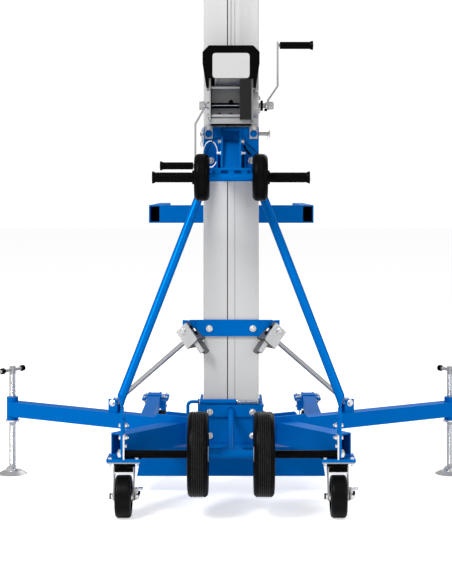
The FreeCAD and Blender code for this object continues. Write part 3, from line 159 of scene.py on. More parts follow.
# CAD nodes whose finish isn't the usual one of their material slot.
NODE_FINISHES: dict[str, Finish] = {
    "winch_gear_cover": Finish.COVER,
    **{f"caster_wheel_{end}_{side}": Finish.WORN_TYRE
       for end in ("front", "rear") for side in ("left", "right")}}


class ShaderLibrary:
    """Makes the shared node groups and one material per finish.

    Lengths are in metres and noise scales in waves per metre.
    """

    EDGE_RADIUS = 0.0022
    EDGE_GAIN = 7.0
    PATCH_SCALE = 60.0
    FILM_SCALE = 9.0
    FILM_COVER = 0.35
    DUST: Triple = (0.42, 0.41, 0.39)
    STREAK_STRETCH: Triple = (420.0, 420.0, 3.5)
    RELIEF_DEPTH = 0.0004

    def __init__(self) -> None:
        self._groups: dict[Shader, Tree] = {}
        self._materials: dict[Finish, bpy.types.Material] = {}

    def _new_group(self, effect: Shader, inputs: Mapping[str, float | None],
                   outputs: Sequence[str]) -> Tree:
        """Starts a node group with its sockets.

        Args:
            effect: The effect the group makes.
            inputs: Default of each input, or None for a colour.
            outputs: Name of each output; "Color" is a colour and the others are numbers.

        Returns:
            The new tree, with its input and output nodes in place.
        """
        tree = bpy.data.node_groups.new(effect.value, "ShaderNodeTree")
        for name, default in inputs.items():
            kind = "NodeSocketColor" if default is None else "NodeSocketFloat"
            socket = tree.interface.new_socket(name, in_out="INPUT", socket_type=kind)
            if default is not None:
                socket.default_value = default
        for name in outputs:
            kind = "NodeSocketColor" if name == "Color" else "NodeSocketFloat"
            tree.interface.new_socket(name, in_out="OUTPUT", socket_type=kind)
        tree.nodes.new("NodeGroupInput").name = "in"
        tree.nodes.new("NodeGroupOutput").name = "out"
        self._groups[effect] = tree
        return tree

    @staticmethod
    def _maths(tree: Tree, operation: str, *values: object) -> Socket:
        """Adds a maths node.

        Args:
            tree: Tree that takes the node.
            operation: Blender's name of the operation.
            values: Sockets or numbers for its inputs.

        Returns:
            The node's output socket.
        """
        node = tree.nodes.new("ShaderNodeMath")
        node.operation = operation
        for index, item in enumerate(values):
            if isinstance(item, (int, float)):
                node.inputs[index].default_value = item
            else:
                tree.links.new(item, node.inputs[index])
        return node.outputs[0]

    @staticmethod
    def _noise(tree: Tree, scale: float | Socket, detail: float = 2.0,
               stretch: Triple = (1.0, 1.0, 1.0)) -> Socket:
        """Adds a noise over the object's own coordinates.

        Args:
            tree: Tree that takes the nodes.
            scale: Its scale, as a number or a socket.
            detail: Its detail.
            stretch: Scale along X, Y and Z.

        Returns:
            The noise's value.
        """
        point = tree.nodes.new("ShaderNodeTexCoord")
        mapping = tree.nodes.new("ShaderNodeMapping")
        mapping.inputs["Scale"].default_value = stretch
        tree.links.new(point.outputs["Object"], mapping.inputs["Vector"])
        noise = tree.nodes.new("ShaderNodeTexNoise")
        noise.inputs["Detail"].default_value = detail
        if isinstance(scale, float):
            noise.inputs["Scale"].default_value = scale
        else:
            tree.links.new(scale, noise.inputs["Scale"])
        tree.links.new(mapping.outputs["Vector"], noise.inputs["Vector"])
        return noise.outputs["Fac"]

    @staticmethod
    def _blend(tree: Tree, amount: Socket, colour: Socket, other: Socket | Triple) -> Socket:
        """Mixes two colours.

        Args:
            tree: Tree that takes the node.
            amount: How much of the other colour.
            colour: The first colour.
            other: The other colour.

        Returns:
            The mixed colour.
        """
        mix = tree.nodes.new("ShaderNodeMix")
        mix.data_type = "RGBA"
        tree.links.new(amount, mix.inputs["Factor"])
        tree.links.new(colour, mix.inputs[6])
        if isinstance(other, tuple):
            mix.inputs[7].default_value = (*other, 1.0)
        else:
            tree.links.new(other, mix.inputs[7])
        return mix.outputs[2]

    def build_groups(self) -> None:
        """Makes every shared effect's node group."""
        self._build_edge_wear()
        self._build_film()
        self._build_brushed()
        self._build_peel()

    def _build_edge_wear(self) -> None:
        """Lighter paint and metal where an edge sticks out: partly wear, partly a painted highlight
        along the edge.
        """
        tree = self._new_group(Shader.EDGE_WEAR,
                               {"Amount": 0.5, "Color": None, "Edge Color": None}, ["Color"])
        given, result = tree.nodes["in"].outputs, tree.nodes["out"].inputs
        bevel = tree.nodes.new("ShaderNodeBevel")
        bevel.samples = 4
        bevel.inputs["Radius"].default_value = self.EDGE_RADIUS
        geometry = tree.nodes.new("ShaderNodeNewGeometry")
        dot = tree.nodes.new("ShaderNodeVectorMath")
        dot.operation = "DOT_PRODUCT"
        tree.links.new(bevel.outputs["Normal"], dot.inputs[0])
        tree.links.new(geometry.outputs["Normal"], dot.inputs[1])
        bend = self._maths(tree, "SUBTRACT", 1.0, dot.outputs["Value"])
        sharp = self._maths(tree, "MULTIPLY", bend, self.EDGE_GAIN)
        patchy = self._maths(tree, "MULTIPLY", sharp, self._noise(tree, self.PATCH_SCALE))
        amount = self._maths(tree, "MULTIPLY", patchy, given["Amount"])
        clamped = self._maths(tree, "MINIMUM", amount, 1.0)
        tree.links.new(self._blend(tree, clamped, given["Color"], given["Edge Color"]),
                       result["Color"])

    def _build_film(self) -> None:
        """A thin uneven film of dust that changes colour and roughness."""
        tree = self._new_group(Shader.FILM, {"Amount": 0.1, "Color": None, "Roughness": 0.4},
                               ["Color", "Roughness"])
        given, result = tree.nodes["in"].outputs, tree.nodes["out"].inputs
        dust = self._noise(tree, self.FILM_SCALE, 6.0)
        amount = self._maths(tree, "MULTIPLY", dust, given["Amount"])
        cover = self._maths(tree, "MULTIPLY", amount, self.FILM_COVER)
        tree.links.new(self._blend(tree, cover, given["Color"], self.DUST), result["Color"])
        rough = self._maths(tree, "ADD", given["Roughness"], amount)
        tree.links.new(self._maths(tree, "MINIMUM", rough, 1.0), result["Roughness"])

    def _build_brushed(self) -> None:
        """Fine streaks along Z, as on drawn aluminium."""
        tree = self._new_group(Shader.BRUSHED, {"Amount": 0.3, "Color": None, "Roughness": 0.4},
                               ["Color", "Roughness"])
        given, result = tree.nodes["in"].outputs, tree.nodes["out"].inputs
        streaks = self._noise(tree, 1.0, 4.0, self.STREAK_STRETCH)
        centred = self._maths(tree, "SUBTRACT", streaks, 0.5)
        amount = self._maths(tree, "MULTIPLY", centred, given["Amount"])
        bright = self._maths(tree, "ADD", self._maths(tree, "MULTIPLY", amount, 0.5), 1.0)
        scale = tree.nodes.new("ShaderNodeVectorMath")
        scale.operation = "SCALE"
        tree.links.new(given["Color"], scale.inputs[0])
        tree.links.new(bright, scale.inputs["Scale"])
        tree.links.new(scale.outputs[0], result["Color"])
        tree.links.new(self._maths(tree, "ADD", given["Roughness"], amount), result["Roughness"])

    def _build_peel(self) -> None:
        """The fine relief of sprayed paint, moulded rubber or a pickled sheet."""
        tree = self._new_group(Shader.PEEL, {"Amount": 0.1, "Scale": 800.0}, ["Height"])
        given = tree.nodes["in"].outputs
        relief = self._noise(tree, given["Scale"], 3.0)
        height = self._maths(tree, "MULTIPLY", relief, given["Amount"])
        tree.links.new(height, tree.nodes["out"].inputs["Height"])

    def _group(self, tree: Tree, effect: Shader, **values: object) -> bpy.types.Node:
        """Places a shared effect in a material.

        Args:
            tree: The material's tree.
            effect: The effect to place.
            values: Its inputs, as sockets, numbers or colours, with _ for a space.

        Returns:
            The group node.
        """
        node = tree.nodes.new("ShaderNodeGroup")
        node.node_tree = self._groups[effect]
        for name, item in values.items():
            socket = node.inputs[name.replace("_", " ")]
            if isinstance(item, Socket):
                tree.links.new(item, socket)
            else:
                socket.default_value = (*item, 1.0) if isinstance(item, tuple) else item
        return node

    def material(self, finish: Finish) -> bpy.types.Material:
        """The material of a finish, made once.

        Args:
            finish: Which finish.

        Returns:
            Its material.
        """
        if finish in self._materials:
            return self._materials[finish]
        look = SURFACES[finish]
        material = bpy.data.materials.new(finish.value)
        material.use_nodes = True
        tree = material.node_tree
        principled = tree.nodes["Principled BSDF"]
        principled.inputs["Metallic"].default_value = look.metallic
        principled.inputs["Specular IOR Level"].default_value = look.specular
        wear = self._group(tree, Shader.EDGE_WEAR, Amount=look.edge, Color=look.colour,
                           Edge_Color=look.edge_colour)
        coated = self._group(tree, Shader.FILM, Amount=look.film, Roughness=look.roughness,
                             Color=wear.outputs["Color"])
        if look.streaks:
            coated = self._group(tree, Shader.BRUSHED, Amount=look.streaks,
                                 Color=coated.outputs["Color"],
                                 Roughness=coated.outputs["Roughness"])
        peel = self._group(tree, Shader.PEEL, Amount=look.bump, Scale=look.relief_scale)
        bump = tree.nodes.new("ShaderNodeBump")
        bump.inputs["Distance"].default_value = self.RELIEF_DEPTH
        tree.links.new(peel.outputs["Height"], bump.inputs["Height"])
        tree.links.new(bump.outputs["Normal"], principled.inputs["Normal"])
        tree.links.new(coated.outputs["Color"], principled.inputs["Base Color"])
        tree.links.new(coated.outputs["Roughness"], principled.inputs["Roughness"])
        self._materials[finish] = material
        return material


def turn_to(direction: Vector) -> Matrix:
    """Rotation that takes +Z to a direction.

    Args:
        direction: Where +Z goes.

    Returns:
        A 4x4 rotation.
    """
    return direction.to_track_quat("Z", "Y").to_matrix().to_4x4()


def add_cylinder(mesh: Mesh, start: Point, direction: Vector, length: float,
                 radius: float, sides: int = 24, top: float | None = None) -> None:
    """Adds a capped cylinder or cone.

    Args:
        mesh: Mesh to fill.
        start: Centre of its first end.
        direction: Its axis.
        length: Its length.
        radius: Radius at the start.
        sides: Number of sides.
        top: Radius at the far end, if different.
    """
    place = Matrix.Translation(start) @ turn_to(direction) @ Matrix.Translation((0, 0, length / 2))
    bmesh.ops.create_cone(mesh, cap_ends=True, segments=sides, radius1=radius,
                          radius2=radius if top is None else top, depth=length, matrix=place)


def add_box(mesh: Mesh, low: Point, high: Point) -> None:
    """Adds a box between two corners.

    Args:
        mesh: Mesh to fill.
        low: Lowest corner.
        high: Highest corner.
    """
    low, high = Vector(low), Vector(high)
    place = Matrix.Translation((low + high) / 2) @ Matrix.Diagonal((*(high - low), 1.0))
    bmesh.ops.create_cube(mesh, size=1.0, matrix=place)


def add_box_pair(mesh: Mesh, low: Point, high: Point) -> None:
    """Adds a box on the right of the middle, and its mirror image.

    Args:
        mesh: Mesh to fill.
        low: Lowest corner.
        high: Highest corner.
    """
    add_box(mesh, (-high[0], *low[1:]), (-low[0], *high[1:]))
    add_box(mesh, low, high)


def add_placed(mesh: Mesh, place: Matrix, build: Callable[[Mesh], None]) -> None:
    """Adds a form that is drawn in a frame of its own.

    Args:
        mesh: Mesh to fill.
        place: Takes that frame to the mesh's.
        build: Fills the form.
    """
    start = len(mesh.verts)
    build(mesh)
    mesh.verts.ensure_lookup_table()
    bmesh.ops.transform(mesh, matrix=place, verts=mesh.verts[start:])


def band(low: float, high: float, inner: float, outer: float) -> Profile:
    """The section of a plain ring, for add_lathe.

    Args:
        low: Where it starts along the axis.
        high: Where it ends.
        inner: Its inner radius.
        outer: Its outer radius.

    Returns:
        The section's corners.
    """
    return [(low, inner), (low, outer), (high, outer), (high, inner)]


def angles(end: float, steps: int) -> list[float]:
    """Even steps of an angle from 0.

    Args:
        end: The last angle, in radians.
        steps: Number of steps.

    Returns:
        The angles, both ends included.
    """
    return [end * step / steps for step in range(steps + 1)]


def coil(start: float, end: float, depth: float, height: float, radius: float, turns: int,
         steps: int) -> list[Vector]:
    """The centreline of a coil along X.

    Args:
        start: X of its first end.
        end: X of its other end.
        depth: Y of its axis.
        height: Z of its axis.
        radius: Its radius.
        turns: Number of turns.
        steps: Points to a turn.

    Returns:
        The line's points.
    """
    return [Vector((start + (end - start) * step / (turns * steps),
                    depth + radius * math.cos(math.tau * step / steps),
                    height + radius * math.sin(math.tau * step / steps)))
            for step in range(turns * steps + 1)]


def arm_plane(sign: int) -> Matrix:
    """Takes a stabiliser's upright plane to the CAD source's frame.

    Args:
        sign: 1 on the right, -1 on the left.

    Returns:
        The matrix.
    """
    own = Matrix.Translation(ARM_ROOT) @ Matrix.Rotation(math.radians(ARM_SWEEP), 4, "Z")
    return own if sign > 0 else MIRROR @ own


def circle(centre: Point, tall: float, wide: float, steps: int) -> list[Vector]:
    """A closed line round an axis along X.

    Args:
        centre: Its centre.
        tall: Its radius along Z.
        wide: Its radius along Y.
        steps: Number of points.

    Returns:
        The line's points.
    """
    x, y, z = centre
    return [Vector((x, y + wide * math.cos(t), z + tall * math.sin(t)))
            for t in angles(math.tau, steps)[:-1]]


def join_rings(mesh: Mesh, rings: Sequence[Sequence[bmesh.types.BMVert]], closed: bool) -> None:
    """Adds the faces between rings of points.

    Args:
        mesh: Mesh to fill.
        rings: Rings with the same number of points.
        closed: Whether the last ring joins the first.
    """
    for number in range(len(rings) if closed else len(rings) - 1):
        here, there = rings[number], rings[(number + 1) % len(rings)]
        for point in range(len(here)):
            after = (point + 1) % len(here)
            mesh.faces.new((here[point], here[after], there[after], there[point]))


def add_prism(mesh: Mesh, corners: Profile, axis: str, low: float, high: float) -> None:
    """Adds a plate of constant thickness with a given outline.

    Args:
        mesh: Mesh to fill.
        corners: Outline in the two other axes, in their order.
        axis: Axis across the plate: X, Y or Z.
        low: Where the plate starts along that axis.
        high: Where it ends.
    """
    index = "XYZ".index(axis)
    rings = [[mesh.verts.new((*pair[:index], along, *pair[index:])) for pair in corners]
             for along in (low, high)]
    mesh.faces.new(rings[0])
    mesh.faces.new(reversed(rings[1]))
    join_rings(mesh, rings, closed=False)


def add_lathe(mesh: Mesh, profile: Profile, centre: Point, axis: Vector,
              sides: int = 48) -> None:
    """Adds a ring or wheel by turning a closed profile about an axis.

    Args:
        mesh: Mesh to fill.
        profile: Corners as (along, radius), with no radius of 0.
        centre: Where along is 0.
        axis: Direction of the axis.
        sides: Number of sides.
    """
    place = Matrix.Translation(centre) @ turn_to(axis)
    rings = [[mesh.verts.new(place @ Vector((radius * math.cos(t), radius * math.sin(t), along)))
              for along, radius in profile] for t in angles(math.tau, sides)[:-1]]
    join_rings(mesh, rings, closed=True)


def add_wire(mesh: Mesh, points: Sequence[Point], radius: float, sides: int = 8,
             closed: bool = False) -> None:
    """Adds a round wire along points.

    Args:
        mesh: Mesh to fill.
        points: Its centreline.
        radius: Its radius.
        sides: Number of sides.
        closed: Whether the last point joins the first.
    """
    points = [Vector(point) for point in points]
    count = len(points)
    rings = []
    normal = None
    for number, point in enumerate(points):
        before = points[number - 1] if closed or number else point
        after = points[(number + 1) % count] if closed or number < count - 1 else point
        along = (after - before).normalized()
        if normal is None:
            normal = along.orthogonal().normalized()
        normal = (normal - along * normal.dot(along)).normalized()
        other = along.cross(normal)
        rings.append([mesh.verts.new(point + radius * (math.cos(t) * normal + math.sin(t) * other))
                      for t in angles(math.tau, sides)[:-1]])
    join_rings(mesh, rings, closed)
    if not closed:
        mesh.faces.new(rings[0])
        mesh.faces.new(reversed(rings[-1]))


def smooth_path(points: Sequence[Point], steps: int = 8) -> list[Vector]:
    """A smooth line through a few points.

    Args:
        points: Points that the line passes.
        steps: Points between each two.

    Returns:
        The line's points.
    """
    knots = [Vector(point) for point in points]
    knots = [knots[0] * 2 - knots[1], *knots, knots[-1] * 2 - knots[-2]]
    line = []
    for number in range(1, len(knots) - 2):
        p0, p1, p2, p3 = knots[number - 1:number + 3]
        for step in range(steps):
            t = step / steps
            line.append(0.5 * (2 * p1 + (p2 - p0) * t + (2 * p0 - 5 * p1 + 4 * p2 - p3) * t ** 2
                               + (3 * p1 - p0 - 3 * p2 + p3) * t ** 3))
    line.append(knots[-2])
    return line


@dataclass(frozen=True)
class Bolt:
    """Sizes of a hexagon bolt head with its washer, in millimetres."""

    corner: float = 8.0
    head: float = 6.0
    washer: float = 10.5
    washer_thick: float = 1.8
    stub: float = 0.0

    def add_to(self, mesh: Mesh, at: Point, axis: Vector) -> None:
        """Adds the head, its washer and, on a nut, the bolt's threaded end.

        Args:
            mesh: Mesh to fill.
            at: Point on the surface the washer lies on.
            axis: Outward normal of that surface.
        """
        axis = axis.normalized()
        at = Vector(at) - axis * 0.3
        add_cylinder(mesh, at, axis, self.washer_thick + 0.3, self.washer, 24)
        seat = at + axis * (self.washer_thick + 0.3)
        add_cylinder(mesh, seat, axis, self.head * 0.8, self.corner, 6)
        add_cylinder(mesh, seat + axis * self.head * 0.8, axis, self.head * 0.2, self.corner, 6,
                     self.corner * 0.8)
        if self.stub:
            add_cylinder(mesh, seat, axis, self.head + self.stub, self.corner * 0.52, 16)


M12 = Bolt()
M10 = Bolt(6.8, 5.0, 9.0, 1.6)
M10_NUT = Bolt(6.8, 6.0, 9.0, 1.6, 4.0)
M8 = Bolt(5.8, 4.2, 7.2, 1.3)
M8_NUT = Bolt(5.8, 5.0, 7.2, 1.3, 3.0)


@dataclass(frozen=True)
class Joint:
    """One bolt or nut at a place."""

    at: Triple
    axis: Vector
    size: Bolt = M12


def both(joints: Sequence[Joint]) -> list[Joint]:
    """The bolts of the right-hand side and their mirror images.

    Args:
        joints: The right-hand bolts.

    Returns:
        Twice as many.
    """
    return list(joints) + [Joint((-j.at[0], *j.at[1:]), MIRROR.to_3x3() @ j.axis, j.size)
                           for j in joints]


@dataclass(frozen=True)
class PhotoCamera:
    """The photograph's camera: level, behind the machine."""

    behind: float = -4.76775
    across: float = 0.006
    height: float = 0.989
    lens: float = 85.75
    shift_x: float = -0.012
    shift_y: float = -0.178
    sensor: float = 36.0
    clip_end: float = 60.0

    def place(self) -> None:
        """Makes the scene's camera."""
        data = bpy.data.cameras.new("photo_camera")
        data.sensor_width = self.sensor
        data.lens = self.lens
        data.shift_x = self.shift_x
        data.shift_y = self.shift_y
        data.clip_end = self.clip_end
        camera = bpy.data.objects.new("photo_camera", data)
        camera.location = (self.across, self.behind, self.height)
        camera.rotation_euler = (math.radians(90), 0, 0)
        bpy.context.scene.collection.objects.link(camera)
        bpy.context.scene.camera = camera


@dataclass(frozen=True)
class Lamp:
    """One soft light: its name, place and width in metres, and power in watts."""

    name: str
    place: Triple
    size: float
    power: float


@dataclass(frozen=True)
class Studio:
    """A pale floor, a white surround and soft lights."""

    floor_size: float = 60.0
    floor_colour: Triple = (0.9, 0.9, 0.9)
    floor_roughness: float = 0.9
    floor_specular: float = 0.1
    floor_lift: float = 0.52
    seen_world: float = 1.1
    lighting_world: float = 0.5
    aim: Triple = (0.0, 0.0, 0.8)
    lamps: tuple[Lamp, ...] = (Lamp("key_light", (-2.8, -3.6, 4.6), 2.0, 300.0),
                               Lamp("fill_light", (3.6, -3.4, 2.6), 2.6, 75.0),
                               Lamp("front_light", (1.5, 4.5, 3.5), 3.0, 90.0))

    def build(self) -> None:
        """Makes the floor, world and lights."""
        self._floor()
        self._world()
        bpy.context.scene.view_settings.view_transform = "Standard"
        for lamp in self.lamps:
            self._light(lamp)

    def _floor(self) -> None:
        """Makes the floor, lifted towards white where the camera sees it."""
        bpy.ops.mesh.primitive_plane_add(size=self.floor_size, location=(0, 0, 0))
        floor = bpy.context.object
        floor.name = "studio_floor"
        paint = bpy.data.materials.new("studio_floor")
        paint.use_nodes = True
        tree = paint.node_tree
        principled = tree.nodes["Principled BSDF"]
        principled.inputs["Base Color"].default_value = (*self.floor_colour, 1.0)
        principled.inputs["Roughness"].default_value = self.floor_roughness
        principled.inputs["Specular IOR Level"].default_value = self.floor_specular
        principled.inputs["Emission Color"].default_value = (1.0, 1.0, 1.0, 1.0)
        seen = tree.nodes.new("ShaderNodeLightPath")
        lift = tree.nodes.new("ShaderNodeMath")
        lift.operation = "MULTIPLY"
        lift.inputs[1].default_value = self.floor_lift
        tree.links.new(seen.outputs["Is Camera Ray"], lift.inputs[0])
        tree.links.new(lift.outputs[0], principled.inputs["Emission Strength"])
        floor.data.materials.append(paint)

    def _world(self) -> None:
        """Makes a surround that looks whiter than it lights."""
        world = bpy.data.worlds.new("studio")
        world.use_nodes = True
        tree = world.node_tree
        background = tree.nodes["Background"]
        background.inputs["Color"].default_value = (1, 1, 1, 1)
        seen = tree.nodes.new("ShaderNodeLightPath")
        mix = tree.nodes.new("ShaderNodeMix")
        mix.data_type = "FLOAT"
        mix.inputs[2].default_value = self.lighting_world
        mix.inputs[3].default_value = self.seen_world
        tree.links.new(seen.outputs["Is Camera Ray"], mix.inputs[0])
        tree.links.new(mix.outputs[0], background.inputs["Strength"])
        bpy.context.scene.world = world

    def _light(self, lamp: Lamp) -> None:
        """Makes one soft light aimed at the machine's middle.

        Args:
            lamp: The light.
        """
        data = bpy.data.lights.new(lamp.name, "AREA")
        data.size = lamp.size
        data.energy = lamp.power
        light = bpy.data.objects.new(lamp.name, data)
        light.location = lamp.place
        aim = Vector(self.aim) - Vector(lamp.place)
        light.rotation_euler = aim.to_track_quat("-Z", "Y").to_euler()
        bpy.context.scene.collection.objects.link(light)


@dataclass
class Trim:
    """Makes joined meshes and hangs them on CAD bodies.

    Args:
        library: Maker of the materials.
        triangles: How many triangles it has made.
    """

    library: ShaderLibrary
    triangles: int = 0

    def add(self, name: str, body: str, finish: Finish, build: Callable[[Mesh], None],
            place: Matrix | None = None, replaces: Sequence[str] = ()) -> None:
        """Makes one piece from a mesh-building function.

        Args:
            name: The piece's name.
            body: CAD body it rides.
            finish: Its finish.
            build: Fills the mesh, in millimetres.
            place: Takes the mesh to the CAD source's frame, if it isn't drawn there.
            replaces: CAD nodes it stands for.
        """
        mesh = bmesh.new()
        build(mesh)
        full = MACHINE if place is None else MACHINE @ place
        bmesh.ops.transform(mesh, matrix=full, verts=mesh.verts)
        bmesh.ops.recalc_face_normals(mesh, faces=mesh.faces)
        data = bpy.data.meshes.new(name)
        mesh.to_mesh(data)
        mesh.free()
        data.calc_loop_triangles()
        self.triangles += len(data.loop_triangles)
        piece = bpy.data.objects.new(name, data)
        bpy.context.scene.collection.objects.link(piece)
        data.materials.append(self.library.material(finish))
        for face in data.polygons:
            face.use_smooth = True
        data.set_sharp_from_angle(angle=math.radians(35))
        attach(piece, body)
        if replaces:
            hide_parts(*replaces)

    def add_bolts(self, name: str, body: str, joints: Sequence[Joint],
                  place: Matrix | None = None) -> None:
        """Makes a set of bolts on one body, as one piece.

        Args:
            name: The piece's name.
            body: CAD body it rides.
            joints: The bolts.
            place: Takes them to the CAD source's frame.
        """
        def build(mesh: Mesh) -> None:
            for joint in joints:
                joint.size.add_to(mesh, joint.at, joint.axis)
        self.add(name, body, Finish.BRIGHT, build, place)

    def dress(self) -> None:
        """Adds the pieces of one part of the machine."""
        raise NotImplementedError


@dataclass
class MastTrim(Trim):
    """Painted shade and painted highlight strips in the mast's groove, bolts and guide blocks of
    the mast.
    """

    rear: float = 220.0
    low: float = 160.0
    top: float = 1958.0
    seam: float = 11.5
    seam_half: float = 1.3
    pitch: float = 53.5
    track: float = 44.5
    lock_bar_height: float = 543.5
    plate_rear: float = 211.7

    def dress(self) -> None:
        """Adds the mast's pieces."""
        # The black strip is painted shade on the groove's shaded wall, the grey strip a painted
        # highlight on its lit wall.
        for name, finish, x, gap in (("mast_groove_painted_shade", Finish.RUBBER, -self.seam, 0.4),
                                     ("mast_groove_painted_highlight", Finish.HUB, self.seam, 0.6)):
            self.add(name, "frame", finish, lambda mesh: add_box(
                mesh, (x - self.seam_half, self.rear + gap, self.low),
                (x + self.seam_half, self.rear + 2.1, self.top)))
        lock = (69.0, self.plate_rear, self.lock_bar_height)
        self.add_bolts("lock_bar_bolts", "frame",
                       both([Joint(lock, -Y_WAY, Bolt(8.6, 6.0, 10.5, 2.0))]))
        self.add_bolts("mast_head_bolts", "frame", both(
            [Joint((36.0, 214.7, height), -Y_WAY, M10) for height in (1894.0, 1942.0)]))
        self.add_bolts("mast_head_pin_nuts", "frame", both([Joint((13.2, 200.0, 1925.0), X_WAY)]))
        for number, body in ((1, "frame"), (2, "mast_column_2"), (3, "mast_column_3"),
                             (4, "mast_column_4")):
            front = self.rear + (number - 1) * self.pitch + self.track

            def guides(mesh: Mesh) -> None:
                for low in (self.top - 60, self.top - 300):
                    add_box_pair(mesh, (79.5, front - 9, low), (84.4, front, low + 50))
            self.add(f"mast_guides_{number}", body, Finish.NYLON, guides)


@dataclass
class BaseTrim(Trim):
    """Crossbeam, leaf plates, latch rod, bolts and welds of the base."""

    axle_back: float = -23.5
    axle_height: float = 190.0
    leaf_inner: float = 317.66
    leaf_outer: float = 323.66
    leaf_low: float = 176.5
    leaf_top: float = 255.5
    leaf_half: float = 17.5
    tab_top: float = 301.0
    tab_round: float = 13.0
    blade_outer: float = 330.2
    leg_across: float = 295.0
    latch_back: float = 207.7
    latch_height: float = 312.0
    latch_out: float = -137.0
    latch_bend: float = 13.0
    beam_rear: float = 306.0
    beam_front: float = 400.0
    beam_low: float = 56.0
    beam_top: float = 150.0
    ear_round: float = 18.0

    def dress(self) -> None:
        """Adds the base's pieces."""
        self._leaves()
        self._frame_bolts()
        self._latch_rod()
        self.add("blade_straps", "frame", Finish.BLUE,
                 lambda mesh: add_box_pair(mesh, (322, -39.0, 181), (331, -8.0, 329)))
        self._crossbeam()
        self.add("base_welds", "frame", Finish.BLUE, self._welds)

    def _leaves(self) -> None:
        """Adds the zinc leaf, with its sheared corners, and the blue tab above it."""
        rear, front = self.axle_back - self.leaf_half, self.axle_back + self.leaf_half
        low, top, middle = self.leaf_low, self.leaf_top, self.tab_top - self.tab_round
        leaf = [(rear, low), (front, low), (front, top - 8), (front - 8, top), (rear + 8, top),
                (rear, top - 8)]
        tab = [(rear + 4.5, top + 0.5), (front - 4.5, top + 0.5)]
        tab += [(self.axle_back + self.tab_round * math.cos(t),
                 middle + self.tab_round * math.sin(t)) for t in angles(math.pi, 10)]
        for name, finish, outline, gap, nodes in (
                ("corner_leaf_plates", Finish.BRIGHT, leaf, 1.0, ["corner_leaves"]),
                ("corner_tabs", Finish.BLUE, tab, 0.5, [])):
            def plates(mesh: Mesh) -> None:
                for side in (-1, 1):
                    add_prism(mesh, outline, "X", side * (self.leaf_inner + gap),
                              side * self.leaf_outer)
            self.add(name, "frame", finish, plates, replaces=nodes)

    def _frame_bolts(self) -> None:
        """Adds the bolts that hold the base together."""
        y, inner, outer = self.axle_back, self.leaf_inner, self.blade_outer
        self.add_bolts("corner_bolts", "frame", both([
            Joint((outer, y, 276.0), X_WAY, M10), Joint((outer, y, 239.0), X_WAY, M10),
            Joint((inner + 0.5, y, 276.0), -X_WAY, M10_NUT),
            Joint((inner + 1.0, y, 239.0), -X_WAY, M10_NUT),
            Joint((inner + 1.0, y + 8, 212.0), -X_WAY, M8),
            Joint((outer, y, self.axle_height), X_WAY, Bolt(14.0, 7.0, 16.5, 2.4, 2.0))]))
        foot = [Joint((68.0, 203.7, 280.0), -Y_WAY), Joint((68.0, 211.7, 204.0), -Y_WAY)]
        foot += [Joint((101.5, depth, height), X_WAY, M10)
                 for depth in (250.0, 400.0) for height in (200.0, 270.0)]
        self.add_bolts("mast_foot_bolts", "frame", both(foot))
        leg = self.leg_across
        self.add_bolts("front_leg_bolts", "frame", both([
            Joint((leg - 26.5, 1147.0, 187.0), -X_WAY, Bolt(5.2, 7.0, 7.0, 4.0, 5.0)),
            Joint((leg + 26.5, 1147.0, 172.0), X_WAY, M8),
            Joint((251.5, 1147.0, 152.0), -X_WAY, M8),
            Joint((leg + 32.5, 386.0, 172.5), X_WAY, Bolt(9.5, 5.0, 11.0, 2.0)),
            Joint((leg - 32.5, 386.0, 172.5), -X_WAY, Bolt(9.5, 6.0, 11.0, 2.0, 3.0))]))

    def _latch_rod(self) -> None:
        """Adds the latch rod with its round bend, tube, lugs, spring and collars."""
        y, z, out, bend = self.latch_back, self.latch_height, self.latch_out, self.latch_bend

        def collars(mesh: Mesh) -> None:
            for x in (-101.0, 84.0):
                add_lathe(mesh, band(0, 2.4, 4.6, 9.0), (x, y, z), X_WAY, 24)

        def rod(mesh: Mesh) -> None:
            corner = [Vector((out + bend - bend * math.sin(t), y, z - bend + bend * math.cos(t)))
                      for t in angles(math.pi / 2, 8)]
            add_wire(mesh, [Vector((-99, y, z)), *corner, Vector((out, y, z - 43))], 5.4, 16)
            add_cylinder(mesh, (15, y, z), X_WAY, 75.0, 4.6, 16)
            tube = [(-100, 4.0), (-100, 6.6), (-98.5, 8.2), (14.5, 8.2), (16, 6.6), (16, 4.0)]
            add_lathe(mesh, tube, (0, y, z), X_WAY, 28)
            for low, high, foot in ((-106, -101.5, 283), (86, 90, 303)):
                ear = [(203.7, foot), (211.7, foot)]
                ear += [(y + 4 * math.cos(t), z + 6 + 4 * math.sin(t)) for t in angles(math.pi, 8)]
                add_prism(mesh, ear, "X", low, high)
        self.add("latch_spring", "frame", Finish.BRIGHT,
                 lambda mesh: add_wire(mesh, coil(17.5, 85.0, y, z, 6.6, 17, 14), 1.25, 6))
        self.add("latch_collars", "frame", Finish.BRIGHT, collars)
        self.add("latch_rod_bent", "frame", Finish.BLUE, rod, replaces=["latch_rod"])

    def _crossbeam(self) -> None:
        """Adds the crossbeam, with the ears of the leg hinges in front of it."""
        rear, front, low, high = self.beam_rear, self.beam_front, self.beam_low, self.beam_top
        turn, round_off = angles(math.pi / 2, 6), self.ear_round
        ear = [(rear + 2, 90), (398, 90)]
        ear += [(398 + round_off * math.sin(t), 169 + round_off * math.cos(t))
                for t in reversed(turn)]
        ear.append((rear + 2, 187))

        def build(mesh: Mesh) -> None:
            add_prism(mesh, [(-305, low), (305, low), (290, high), (-290, high)], "Y", rear, front)
            for side in (-1, 1):
                for x in (266.5, 317.5):
                    add_prism(mesh, ear, "X", *sorted((side * x, side * (x + 6))))
            add_box_pair(mesh, (266.5, rear + 2, 90), (323.5, 416, 150))
        self.add("crossbeam_shell", "frame", Finish.BLUE, build, replaces=["base_crossbeam"])

